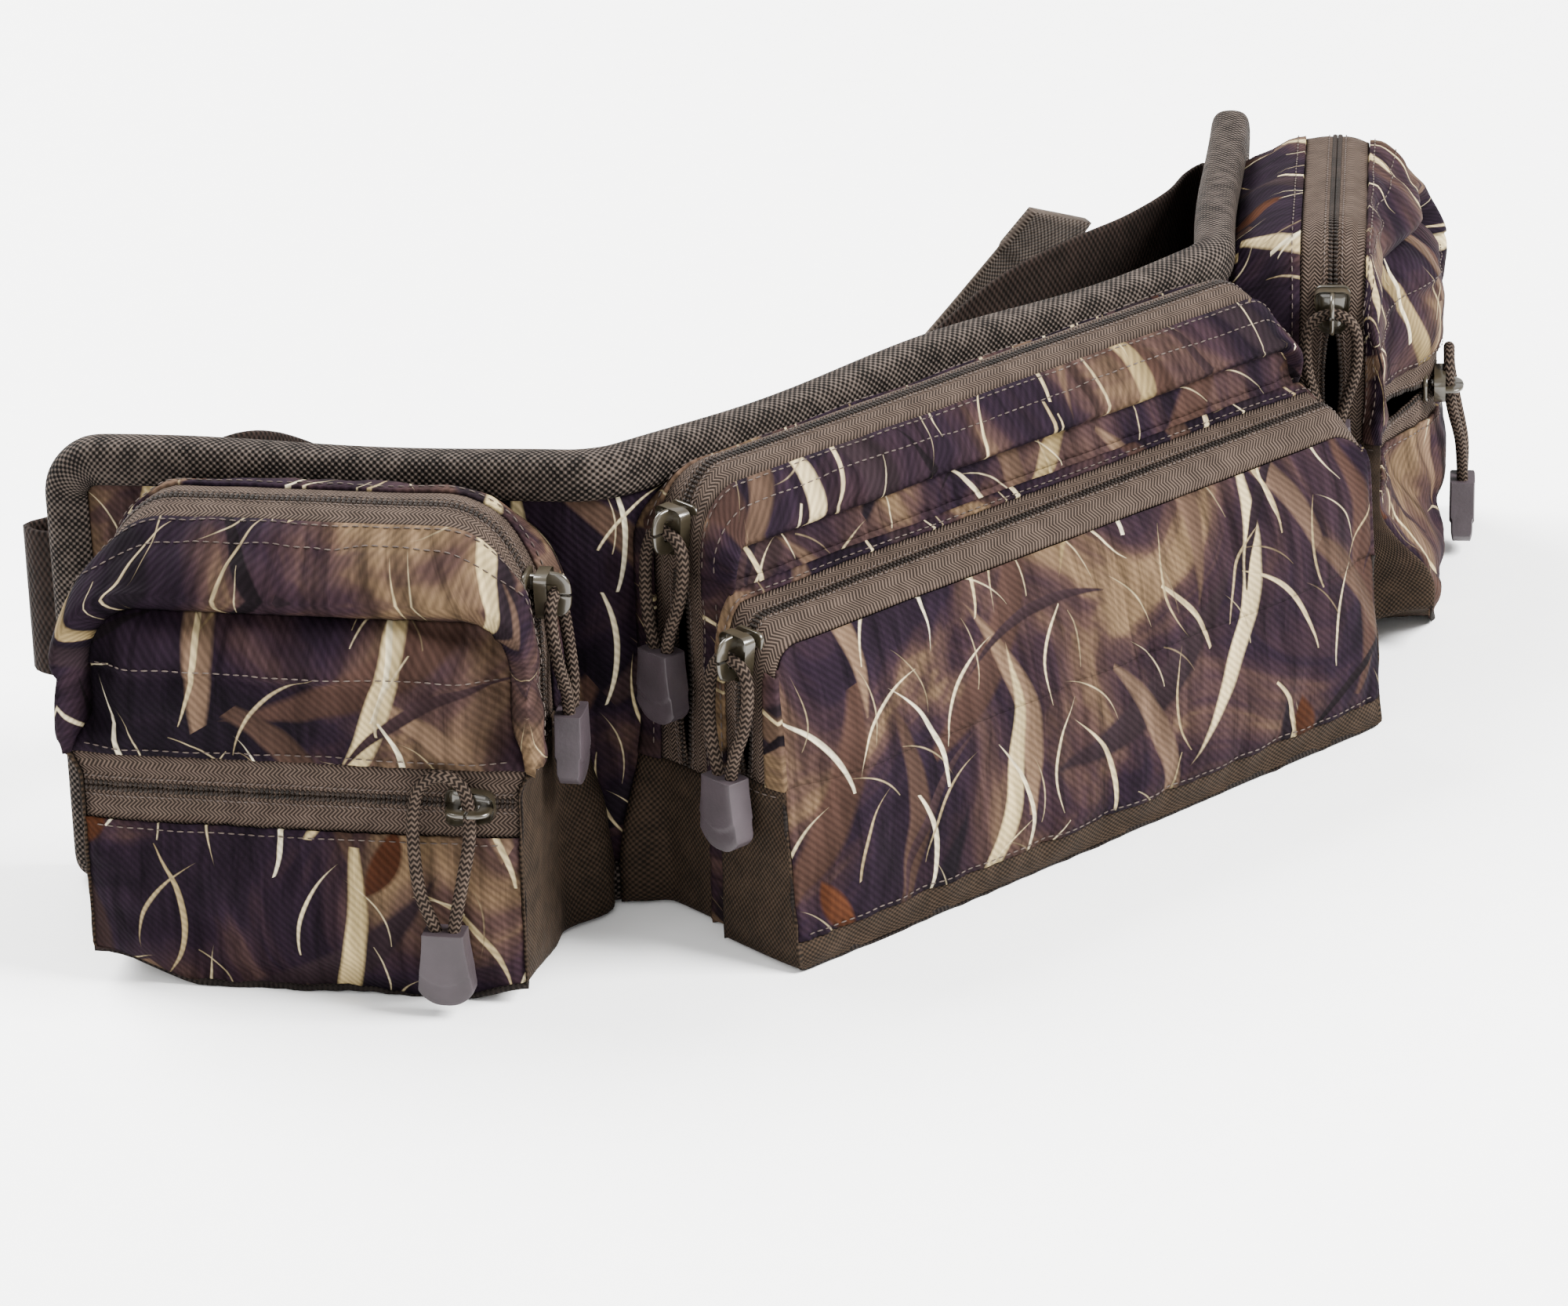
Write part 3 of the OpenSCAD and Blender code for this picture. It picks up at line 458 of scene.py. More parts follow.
def points_of(obj):
    co = np.empty(3 * len(obj.data.vertices))
    obj.data.vertices.foreach_get("co", co)
    return co.reshape(-1, 3)


def move_to(obj, points):
    obj.data.vertices.foreach_set("co", np.asarray(points, float).ravel())
    obj.data.update()


def grid_object(name, points, uv):
    """Quads through points (rows, columns, 3) in mm; columns times rows point outwards."""
    rows, columns = points.shape[:2]
    bpy.ops.mesh.primitive_grid_add(x_subdivisions=columns - 1, y_subdivisions=rows - 1)
    obj = bpy.context.object
    obj.name = obj.data.name = name
    move_to(obj, points.reshape(-1, 3) * MM)
    corner = np.empty(len(obj.data.loops), int)
    obj.data.loops.foreach_get("vertex_index", corner)
    obj.data.uv_layers[0].data.foreach_set("uv", uv.reshape(-1, 2)[corner].ravel())
    return obj


def in_edit_mode(obj, *steps):
    """Run edit mode operators on the whole mesh, one after the other."""
    only(obj)
    bpy.ops.object.mode_set(mode="EDIT")
    bpy.ops.mesh.select_all(action="SELECT")
    for step in steps:
        step()
    bpy.ops.object.mode_set(mode="OBJECT")


def merge(obj, near=0.00008):
    in_edit_mode(obj, lambda: bpy.ops.mesh.remove_doubles(threshold=near))


def face_out(obj):
    in_edit_mode(obj, lambda: bpy.ops.mesh.normals_make_consistent(inside=False))


def turn_over(obj):
    in_edit_mode(obj, bpy.ops.mesh.flip_normals)


def close_ends(obj):
    in_edit_mode(
        obj, lambda: bpy.ops.mesh.select_all(action="DESELECT"), bpy.ops.mesh.select_non_manifold,
        bpy.ops.mesh.edge_face_add,
    )
    face_out(obj)


def cut_apart(obj):
    """Separate a mesh by its stand-in finishes; pieces by name."""
    in_edit_mode(obj, lambda: bpy.ops.mesh.separate(type="MATERIAL"))
    return {o.data.materials[0].name[4:]: o for o in bpy.context.selected_objects}


def apply(obj, kind, **settings):
    only(obj)
    bpy.ops.object.modifier_add(type=kind)
    modifier = obj.modifiers[-1]
    for key, value in settings.items():
        setattr(modifier, key, value)
    bpy.ops.object.modifier_apply(modifier=modifier.name)


def smooth(obj):
    only(obj)
    bpy.ops.object.shade_smooth()


def enter(obj, body, slot, *nodes):
    """Hand a piece to the frame: the body it rides on and the CAD nodes it replaces; slot is not used."""
    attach(obj, body)
    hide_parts(*nodes)


print("helpers for grids are ready")


# %% Tubes
def tube_object(name, line, radius, sides):
    """A closed tube round a line in mm, with UV along and around it."""
    ahead = np.gradient(line, axis=0)
    ahead /= np.linalg.norm(ahead, axis=1)[:, None]
    across = np.cross(ahead[0], [0.3, 0.9, 0.2])
    angle = np.linspace(0, 2 * math.pi, sides + 1)[:, None]
    rings = []
    for centre, t in zip(line, ahead):
        across = across - t * (across @ t)
        across /= np.linalg.norm(across)
        rings.append(centre + radius * (np.cos(angle) * across + np.sin(angle) * np.cross(t, across)))
    uv = np.stack(np.broadcast_arrays(run_of(line)[:, None], radius * angle[:, 0][None]), -1)
    obj = grid_object(name, np.stack(rings), uv)
    merge(obj, 0.00002)
    close_ends(obj)
    return obj


print("helper for tubes is ready")

# %% [markdown]
# ## Cord loops
# Each slider carries a loop of 4 mm knitted cord: both ends are moulded into the cord end, and the
# loop passes under the slider's bridge. It is a limp cord, so a tube is swept along one smooth line.

# %% Cord loops
CORD_D, STRAND_Y, DROP, SOCKET, CORD_N = 4.0, 2.9, 38, 9, 4.4
HOOKED = ("left_pocket", "right_pocket")
LOOP = [
    (0, -44, 1), (0, -38, 1), (5, -30, 1), (8, -20, 0.6), (8.5, -9, 0.2), (6, -2.5, 0), (0, 0, 0),
    (-6, -2.5, 0), (-8.5, -9, 0.2), (-8, -20, 0.6), (-5, -30, 1), (0, -38, 1), (0, -44, 1),
]
HOOK = [
    (0, -44, 1), (0, -38, 1), (-15, -26, 1), (-17, -12, 0.5), (-17, 0, 0.1), (-14, 8, 0),
    (-8, 11, 0), (-2, 8, 0), (0, 0, 0), (0, -10, 0.3), (-2, -22, 0.8), (0, -38, 1), (0, -44, 1),
]


def end_place(name):
    """How far out and how far across a cord end hangs from its slider."""
    return (10, -8) if name in HOOKED else (8, 0)


def cord_route(name):
    """Points of a loop in its slider's frame: out, across, up."""
    hook = name in HOOKED
    route, (stand, middle) = HOOK if hook else LOOP, end_place(name)
    points = []
    for i, (y, z, share) in enumerate(route):
        shift = STRAND_Y if i < 2 else -STRAND_Y if i > len(route) - 3 else 0
        if shift:
            y = middle + shift * (-1 if hook else 1)
            z = -DROP - SOCKET + 1 if z < -40 else -DROP
        points.append((CORD_N + share * (stand - CORD_N), y, z))
    return np.array(points)


def in_frame(name, local):
    origin, out, across, up = slider_frame(name)
    return origin + np.asarray(local, float) @ np.array([out, across, up])


for name in PULLS:
    line = smooth_line(in_frame(name, cord_route(name)), 1.1)
    cord = tube_object(name + "_cord_loop", line, CORD_D / 2, 14)
    cord.data.materials.append(FINISHES["cord"])
    smooth(cord)
    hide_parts(name + "_pull_cord")
    top, low = (in_frame(name, (CORD_N, 0, z)) * MM for z in (-4, -30))
    tuple(top)
    tuple(low)
    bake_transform(cord)
    float(run_of(line)[-1]) * MM
    [tuple(p) for p in line * MM]
    print(cord.name, round(run_of(line)[-1], 1), "mm")

# %% [markdown]
# ## Pouch shells
# A pouch is sewn from a front, a bottom and a long gusset that runs up one side, over the top and down
# the other, with the zip along its middle. Outlines give its shape: where it meets the panel, where
# the zip runs, the crest of the roll round the front, and the seam tucked in behind that roll. Grids
# are laid between them, joined and merged, and cloth simulation then blows the shell up gently.

# %% Outlines of a pouch
def outline(width, rows, top, corner, inset, arc_steps, top_steps):
    """Points (across, up) from the left foot over the top to the right foot."""
    turn = np.radians(np.linspace(0, 90, arc_steps + 1))[1:]
    side = np.stack([np.full(len(rows), float(inset)), rows], 1)
    arc = np.stack([inset + corner * (1 - np.cos(turn)), rows[-1] + (top - rows[-1]) * np.sin(turn)], 1)
    left = np.vstack([side, arc])
    flat = np.linspace(inset + corner, width - inset - corner, top_steps + 1)[1:-1]
    flat = np.stack([flat, np.full(len(flat), float(top))], 1)
    return np.vstack([left, flat, left[::-1] * [-1, 1] + [width, 0]])


def gusset_grid(edges, back_v, zip_v, front_v, tuck, back_lines, tape, shares):
    """Points (across, out, up) along the outlines, from the panel over the zip to the front's seam."""
    edge_b, edge_z, edge_f, edge_s = edges
    lines = []
    for v in back_lines:
        t = (v - back_v) / (zip_v - back_v)
        pos = edge_b + (edge_z - edge_b) * [t, math.sin(t * math.pi / 2)]
        lines.append(np.stack([pos[:, 0], np.full(len(pos), float(v)), pos[:, 1]], 1))
    crest = front_v(edge_f[:, 1]) + tuck(edge_f[:, 1])[2]
    seam = front_v(edge_s[:, 1]) - tuck(edge_s[:, 1])[1]
    outs = [np.full(len(crest), zip_v + x) for x in tape]
    outs += [zip_v + tape[-1] + (crest - zip_v - tape[-1]) * x for x in shares]
    for v in outs:
        t = ((v - zip_v) / (crest - zip_v))[:, None]
        pos = edge_z + (edge_f - edge_z) * np.hstack([t ** 3, 1 - np.cos(t * math.pi / 2)])
        lines.append(np.stack([pos[:, 0], v, pos[:, 1]], 1))
    for share, v in ((0.5, crest - 0.35 * (crest - seam)), (1.0, seam)):
        pos = edge_f + (edge_s - edge_f) * share
        lines.append(np.stack([pos[:, 0], v, pos[:, 1]], 1))
    return np.stack(lines, 1)


def front_grid(edge_s, rows, steps, front_v, tuck):
    """Points (across, out, up) of the front inside its seam; it swells forward away from the seam."""
    arc_steps, top_steps = steps
    tall, wide = len(rows) - 1 + arc_steps // 2, arc_steps + top_steps
    left, top, right = edge_s[:tall + 1], edge_s[tall:tall + wide + 1], edge_s[tall + wide:][::-1]
    x = np.linspace(0, 1, wide + 1)[:, None]
    grow = np.clip((np.arange(tall + 1) - (len(rows) - 4)) / (tall - len(rows) + 4), 0, 1)
    sides = left[:, None] * (1 - x) + right[:, None] * x
    crown = top - (top[0] * (1 - x) + top[-1] * x)
    a, z = np.moveaxis(sides + grow[:, None, None] * crown, -1, 0)
    gap = np.minimum(np.minimum(a - a[:, :1], a[:, -1:] - a), np.minimum(z[-1:] - z, z - z[:1]))
    return np.stack([a, front_v(z) - tuck(z)[1] * (1 - ease(gap / 14)), z], -1)


def pouch_grids(width, rows, steps, shapes, front_v, tuck, back_lines, tape, shares):
    """Grids of gusset, front and bottom; shapes are (v, top, corner, inset) of panel edge, zip and crest."""
    edges = [outline(width, rows, top, corner, inset, *steps) for _, top, corner, inset in shapes]
    ahead = np.gradient(edges[2], axis=0)
    inside = np.stack([ahead[:, 1], -ahead[:, 0]], 1) / np.linalg.norm(ahead, axis=1)[:, None]
    edges.append(edges[2] + inside * tuck(edges[2][:, 1])[0][:, None])
    gusset = gusset_grid(edges, shapes[0][0], shapes[1][0], front_v, tuck, back_lines, tape, shares)
    face = front_grid(edges[3], rows, steps, front_v, tuck)
    x = np.linspace(0, 1, face.shape[1])[:, None]
    return gusset, face, gusset[0][:, None] * (1 - x) + gusset[-1][:, None] * x


print("pouch outlines are ready")


# %% Marks on a pouch's faces
def stand_in(name):
    """A nameless finish that marks the faces of one cut piece until they are cut apart."""
    key = "cut_" + name
    return bpy.data.materials.get(key) or bpy.data.materials.new(key)


def patch(name, points, uv, region):
    obj = grid_object(name, points, uv)
    names = sorted(set(region.ravel()))
    for key in names:
        obj.data.materials.append(stand_in(key))
    obj.data.polygons.foreach_set("material_index", np.searchsorted(names, region.ravel()))
    return obj


def mark(grid, rule):
    """Name of the cut piece that each quad of a grid belongs to, from the middle of the quad."""
    middle = (grid[:-1, :-1] + grid[1:, :-1] + grid[:-1, 1:] + grid[1:, 1:]) / 4
    names = np.full(middle.shape[:2], "", dtype="U24")
    for row in range(middle.shape[0]):
        for column in range(middle.shape[1]):
            names[row, column] = rule(*middle[row, column])
    return names


print("marks are ready")


# %% Cloth simulation
def swell(obj, hold, pressure, slack, cap):
    """Blow up a shell with cloth simulation; hold is how firmly each point is held, cap is in mm."""
    start = points_of(obj)
    group = obj.vertex_groups.new(name="hold")
    for i, weight in enumerate(hold):
        if weight > 0:
            group.add([i], float(weight), "REPLACE")
    only(obj)
    bpy.ops.object.modifier_add(type="CLOTH")
    cloth = obj.modifiers[-1]
    setup = cloth.settings
    setup.quality = 6
    setup.mass = 0.15
    setup.tension_stiffness = setup.compression_stiffness = 12
    setup.shear_stiffness = 6
    setup.bending_stiffness = 0.6
    setup.air_damping = 2
    setup.use_pressure = True
    setup.uniform_pressure_force = pressure
    setup.vertex_group_mass = "hold"
    setup.shrink_min = -slack
    setup.effector_weights.gravity = 0
    cloth.collision_settings.use_collision = False
    for step in range(1, 21):
        bpy.context.scene.frame_set(step)
    bpy.ops.object.modifier_apply(modifier=cloth.name)
    bpy.context.scene.frame_set(1)
    moved = points_of(obj) - start
    far = np.linalg.norm(moved, axis=1)
    limit = np.minimum(1, cap * MM / np.maximum(far, 1e-9))
    move_to(obj, start + moved * limit[:, None])
    print(obj.name, "swelled", round(far.max() / MM, 1), "mm, mean", round(far.mean() / MM, 1), "mm")


def folds(seed, size, depth, tilt):
    """Wrinkles: soft swells and sharper creases about size mm apart, drawn out along the tilt."""
    shift = Vector((seed * 13.7, seed * 5.1, seed * 9.3))

    def wrinkle(co):
        p = Vector((co[0] / size[0], co[1] / size[0], co[2] / size[1])) + shift
        p.x += tilt * p.z
        soft = noise.noise(p) + 0.5 * noise.noise(p * 2.1)
        crease = 0.3 - abs(noise.noise(p * 1.4 + shift))
        return depth * (soft + 0.9 * crease)

    return wrinkle


print("simulation helpers are ready")

# %% [markdown]
# ### Sewing a pouch together
# The three grids are joined and merged at their seams. After the swelling, the seams are pressed in a
# little, the table flattens the bottom, and the shell is cut into its pieces by the marks on its faces.
# Every piece gets the thickness of cloth with a dark lining inside. A tape lies a little deeper than
# the folded cloth edge beside it.

# %% Sewing a pouch together
TABLE, FACE_SHIFT, CLOTH_T = 0.8, 531, 1.3
SLOT = {"print": "printed_cloth", "plain": "plain_cloth", "tape": "zip_tape", "lining": "lining"}
TWIN = {"top_tape": "_upper", "side_tape": "_side", "edge": "_edge"}
SHELLS = {}


def sew(name, place, grids, regions, holds, seams, zip_at, push, wrinkle):
    """Note the shell's final points and normals on each grid, and return its pieces by region.

    zip_at is where the UV map starts: out on the gusset, up on the front, and along the cloth.
    """
    gusset, face, feet = grids
    along = run_of(gusset[:, gusset.shape[1] // 2, [0, 2]])
    uvs = [
        np.stack(np.broadcast_arrays(along[:, None] + zip_at[2], gusset[:, :, 1] - zip_at[0]), -1),
        np.stack([face[..., 0] + zip_at[2] + FACE_SHIFT, face[..., 2] - zip_at[1]], -1),
        feet[..., :2],
    ]
    laid = [place(*np.moveaxis(g, -1, 0)) for g in grids]
    parts = [patch(f"{name}_{k}", p, uv, r) for k, (p, uv, r) in enumerate(zip(laid, uvs, regions))]
    only(*parts)
    bpy.ops.object.join()
    shell = bpy.context.object
    shell.name = name
    merge(shell)
    base = points_of(shell)
    tree = tree_of(base)
    index = [np.array([tree.find(co)[1] for co in p.reshape(-1, 3) * MM]).reshape(p.shape[:2]) for p in laid]
    hold, seam = np.zeros(len(base)), np.zeros(len(base))
    for k in range(3):
        for total, share in ((hold, holds[k]), (seam, seams[k])):
            np.maximum.at(total, index[k].ravel(), np.broadcast_to(share, index[k].shape).ravel())
    lean = sum((p.center - Vector(base.mean(0))).dot(p.normal) for p in shell.data.polygons)
    if lean < 0:
        turn_over(shell)
    swell(shell, hold, *push)
    normals = np.array([v.normal for v in shell.data.vertices])
    crease = np.array([wrinkle(co / MM) for co in base]) * (1 - np.clip(seam, 0, 1)) * (1 - hold * 0.75)
    now = points_of(shell) + normals * ((crease - seam) * MM)[:, None]
    now[:, 2] = np.maximum(now[:, 2], TABLE * MM)
    move_to(shell, now)
    normals = np.array([v.normal for v in shell.data.vertices])
    pieces = cut_apart(shell)
    print(name, "cut into", sorted(pieces))
    SHELLS[name] = [now[i] / MM for i in index], [normals[i] for i in index], grids
    return pieces


def dress(piece, name, node, body, look, proud=0.0):
    """Give a cut piece its thickness, finish and body; it stands for one CAD node."""
    piece.name = piece.data.name = name
    piece.data.materials.clear()
    piece.data.materials.append(FINISHES[look])
    piece.data.materials.append(FINISHES["lining"])
    piece.data.polygons.foreach_set("material_index", np.zeros(len(piece.data.polygons), int))
    piece.vertex_groups.clear()
    normals = np.array([v.normal for v in piece.data.vertices])
    move_to(piece, points_of(piece) + normals * proud * MM)
    apply(
        piece, "SOLIDIFY", thickness=CLOTH_T * MM, offset=-1, material_offset=1,
        edge_crease_outer=1.0, edge_crease_inner=1.0, edge_crease_rim=1.0,
    )
    apply(piece, "SUBSURF", levels=1, render_levels=1, boundary_smooth="PRESERVE_CORNERS")
    smooth(piece)
    enter(piece, body, SLOT[look], node)


def dress_all(pieces, prefix, table):
    """Dress the pieces of a pouch; a twin is a second piece that stands for the same CAD node."""
    for region, node, body, look, proud in table:
        node = prefix + node
        dress(pieces[region], node + TWIN.get(region, "") + "_cloth", node, body, look, proud)
    print("dressed", len(table), "pieces")


print("sewing helpers are ready")

# %% [markdown]
# ### Open zips
# Below its slider a zip stands open: the two tapes part in a narrow lens, and the coil shows on both
# edges. The tape pieces are cut along the zip's middle line, so their edges can be drawn apart.

# %% Open zips
def opening(line, across, share, wide):
    """A zip's middle line, its direction across, and how far each tape stands back; share runs 0 to 1."""
    across = across / np.linalg.norm(across, axis=1)[:, None]
    return line, across, wide * np.clip(np.sin(math.pi * np.clip(share, 0, 1)), 0, 1) ** 0.7


def gusset_zip(shell, column, hem, slider_z, wide, far_side):
    """Rows of a zip along a gusset, and its opening between the hem and the slider on one side."""
    points, _, grids = SHELLS[shell]
    z = grids[0][:, column, 2]
    r = np.flatnonzero(z > hem - 0.1)
    own_side = (r > len(z) / 2) == far_side
    share = np.where(own_side, (z[r] - hem) / (slider_z - 5 - hem), 0)
    return r, opening(points[0][r, column], points[0][r, column + 1] - points[0][r, column - 1], share, wide)


def level_zip(shell, row, low, high, wide):
    """Columns of a zip along a row of the front, and its opening between two places across."""
    points, _, grids = SHELLS[shell]
    a = grids[1][row, :, 0]
    share = (a - low) / (high - low)
    return np.arange(len(a)), opening(points[1][row], points[1][row + 1] - points[1][row - 1], share, wide)


def draw_back(piece, zip_line, sign, reach=9):
    line, across, wide = zip_line
    tree = tree_of(line)
    co = points_of(piece) / MM
    for i, p in enumerate(co):
        _, k, far = tree.find(p)
        co[i] = p + sign * across[k] * wide[k] * max(0, 1 - far / reach)
    move_to(piece, co * MM)


print("helpers for open zips are ready")

# %% [markdown]
# ### Stitch rows
# Most seams show a row of stitches about 3.5 mm apart. One small stitch is modelled and copied along
# lines that lie on the finished cloth, so each row follows every swell of its seam. The coil of a zip
# is made of the same kind of beads, closer together. The rows of one body become one piece.

# %% Stitch rows
ROWS = {}


def on_grid(grid, r, c):
    """Points of a grid at fractional row and column indices."""
    r, c = np.broadcast_arrays(np.asarray(r, float), np.asarray(c, float))
    r0 = np.clip(np.floor(r).astype(int), 0, grid.shape[0] - 2)
    c0 = np.clip(np.floor(c).astype(int), 0, grid.shape[1] - 2)
    fr, fc = (r - r0)[:, None], (c - c0)[:, None]
    low = grid[r0, c0] * (1 - fc) + grid[r0, c0 + 1] * fc
    high = grid[r0 + 1, c0] * (1 - fc) + grid[r0 + 1, c0 + 1] * fc
    return low * (1 - fr) + high * fr


def stitch(body, shell, k, r, c, pitch=3.2, size=(2.3, 0.5, 0.5), rise=0.3, look="thread", shift=0.0):
    """Note a row of stitches along fractional indices of grid k of a shell."""
    points, normals = SHELLS[shell][0][k], SHELLS[shell][1][k]
    line, out = on_grid(points, r, c) + shift, on_grid(normals, r, c)
    ROWS.setdefault((body, look), []).append((line + out * rise, out, pitch, size))


def zip_rows(shell, k, r, c, step, zip_line, bodies):
    """Coil and the thread that holds it, on both tapes; r and c run along the zip, step goes across it."""
    _, across, wide = zip_line
    for sign, body in zip((-1, 1), bodies):
        for off, look, pitch, size, rise in (
            (0.24, "coil", 1.6, (1.2, 1.9, 1.3), -0.3), (0.8, "thread", 2.2, (1.4, 0.55, 0.5), -0.35),
        ):
            shift = sign * across * (wide * (1 - off * 0.4))[:, None]
            stitch(body, shell, k, r + sign * off * step[0], c + sign * off * step[1], pitch, size, rise, look, shift)


def thread_rows(body, look, rows):
    bpy.ops.mesh.primitive_uv_sphere_add(segments=6, ring_count=4, radius=0.5)
    bead = bpy.context.object
    shape = points_of(bead)
    faces_of_bead = [tuple(p.vertices) for p in bead.data.polygons]
    bpy.data.objects.remove(bead)
    points, faces = [], []
    for line, out, pitch, size in rows:
        run = run_of(line)
        at = np.arange(0, run[-1], pitch)
        spots, ups = (np.stack([np.interp(at, run, q[:, k]) for k in range(3)], 1) for q in (line, out))
        for a, b, n in zip(spots, spots[1:], ups):
            t = (b - a) / max(np.linalg.norm(b - a), 1e-9)
            n = n - t * (n @ t)
            n /= np.linalg.norm(n)
            start = len(points) * len(shape)
            points.append((a + b) / 2 + (shape[:, [2, 0, 1]] * size) @ np.array([t, np.cross(n, t), n]))
            faces += [tuple(start + i for i in q) for q in faces_of_bead]
    name = f"{body}_{'stitches' if look == 'thread' else 'zip_coil'}"
    mesh = bpy.data.meshes.new(name)
    mesh.from_pydata((np.vstack(points) * MM).tolist(), [], faces)
    obj = bpy.data.objects.new(name, mesh)
    bpy.context.scene.collection.objects.link(obj)
    mesh.materials.append(FINISHES[look])
    face_out(obj)
    bpy.ops.object.shade_smooth()
    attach(obj, body)
    print(obj.name, len(points), "stitches")


print("stitch helpers are ready")

# %% [markdown]
# ## Side pouches
# The pouches on the wings are loaves of printed cloth on a coarse plain base. The main zip runs up one
# side, over the top and down the other. The front sits behind a rolled edge, carries a lapped seam
# across its middle, and has a second pocket with a level zip below. Above the hem, everything in front
# of the main zip is the lid.

# %% Shape of the side pouches
HEM, POCKET_TOP, POCKET_ZIP, LAP, TAPE = 77.2, 54.8, 66.0, 102.6, 11.2
TAPE_STEPS = [TAPE / 3, TAPE * 2 / 3, TAPE]
SIDE_ROWS = np.concatenate([
    np.linspace(0, POCKET_TOP, 15), np.linspace(POCKET_TOP, HEM, 7)[1:],
    np.linspace(HEM, 101, 6)[1:], [LAP, 103.8, 106],
])
SIDE_SHAPES = [(1, 137, 30, 0), (MAIN_V, 150, 28, 0), (POUCH_D, 127, 20, 1)]
SIDE_BACK = [1, 6.9, 12.9, 18.9, MAIN_V - TAPE, 28.5, 32.3, MAIN_V]
SIDE_COLUMN = len(SIDE_BACK) - 1
LAP_ROW, ZIP_ROW = (int(np.argmin(abs(SIDE_ROWS - z))) for z in (LAP, POCKET_ZIP))
PRINT_SHIFT = {-1: 430, 1: 2170}
# where a front zip gapes: from, to, and how far each tape stands back
GAPE = {"left": (0, 1, 0), "right": (58, 124, 4.5)}


def profile(z, shoulder, zip_v, depth):
    """How far a pouch's front stands out at height z."""
    rise = np.clip((z - shoulder) / (150 - shoulder), 0, 1) ** 0.8
    return zip_v + (depth - zip_v) * np.sqrt(np.clip(1 - rise ** 2, 0, 1)) ** 1.25


def side_front(z):
    return profile(z, 96, MAIN_V, POUCH_D) + 1.6 * ease((z - LAP) / 1.0) * ease((122 - z) / 14)


def side_tuck(z):
    """How far the front's seam lies inside the crest and behind it, and how proud the crest is."""
    w = ease((z - HEM + 2) / 14)
    return 1.5 + 6 * w, 0.8 + 8.2 * w, 3.6 * w


def foot_flare(v, wide, reach):
    """How far a plain lower gusset spreads at the panel, to meet the next pouch in the bend."""
    return (wide + 0.42 * v) * ease(1 - (v - reach / 5) / reach)


def settled(side):
    """Place of a side pouch that stands on a table: raised corners, a flared foot, a pressed end."""
    outer, inner = (11, 4) if side < 0 else (6, 14)

    def place(a, v, z):
        lift = outer * ease(1 - a / 36) + inner * ease(1 - (POUCH_W - a) / 30)
        lift = lift * ease((v - 10) / (POUCH_D - 10)) * ease(1 - z / 64)
        lift = lift + 1.1 * (1 + np.sin(a / 9.5 + side)) * ease((v - 40) / 30) * ease(1 - z / 26)
        flare = foot_flare(v, 11 if side < 0 else 8, 20) * ease(1.2 - z / HEM) * ease((a - 100) / 40)
        spread = 5 * (a / (POUCH_W / 2) - 1) * ease((v - 46) / 18) * ease((z - 68) / 14) * ease((142 - z) / 26)
        forward = np.clip((v - MAIN_V - TAPE) / 24.8, 0, 1.15) * (side > 0)
        press = 19 * ease((a - 46) / 46) * ease((z - 8) / 44) * forward
        return wing_place(side, POUCH_U[side] + a + flare + spread, v - press, z + lift)

    return place


print("side pouches have", len(SIDE_ROWS), "rows below their corners")

# %% Sew the side pouches
def firm(gusset, zip_v, hem):
    """How firmly the points of a gusset are held, and how far its zip's middle line is pressed in."""
    v, z = gusset[..., 1], gusset[..., 2]
    above = z > hem - 0.1
    hold = np.where((abs(v - zip_v) < TAPE + 0.1) & above, 1.0, np.where(above, 0.0, 0.85))
    hold[:, [0, -2, -1]] = 1, 0.9, 0.95
    return hold, np.where((abs(v - zip_v) < 0.1) & above, 0.8, 0.0)


SIDE_PIECES = {}
for side in (-1, 1):
    nm = SIDE_NAME[side]
    grids = pouch_grids(
        POUCH_W, SIDE_ROWS, (10, 24), SIDE_SHAPES, side_front, side_tuck,
        SIDE_BACK, TAPE_STEPS, np.linspace(0, 1, 8)[1:],
    )
    gusset, face, feet = grids
    regions = [
        mark(gusset, lambda a, v, z: "lower" if z < HEM else "back" if v < MAIN_V - TAPE else "rear_tape"
             if v < MAIN_V else "lid_tape" if v < MAIN_V + TAPE else "gusset"),
        mark(face, lambda a, v, z: "pocket" if z < POCKET_TOP else "low_tape" if z < POCKET_ZIP
             else "top_tape" if z < HEM else "panel"),
        mark(feet, lambda a, v, z: "lower"),
    ]
    z_f = face[..., 2]
    hold_g, seam_g = firm(gusset, MAIN_V, HEM)
    seam_g[:, -1] = 0.6
    hold_f = np.where((z_f > POCKET_TOP - 0.1) & (z_f < HEM + 0.1), 0.9, 0.0)
    hold_f[LAP_ROW], hold_f[[0, -1]], hold_f[:, [0, -1]] = 0.85, 0.95, 0.95
    seam_f = np.where(abs(z_f - POCKET_ZIP) < 0.1, 0.7, 0.0)
    seam_f[LAP_ROW], seam_f[[0, -1]], seam_f[:, [0, -1]] = 0.8, 0.6, 0.6
    SIDE_PIECES[nm] = sew(
        nm, settled(side), grids, regions, (hold_g, hold_f, 0.8), (seam_g, seam_f, 0),
        (MAIN_V, POCKET_ZIP, PRINT_SHIFT[side]), (6, 0.03, 9), folds(3 + side, (34, 17), 2.4, 0.6),
    )

# %% [markdown]
# The main zips stand open below their sliders, and the right pouch's front zip gapes behind its slider.
# After the tapes are drawn apart, every piece gets its cloth.

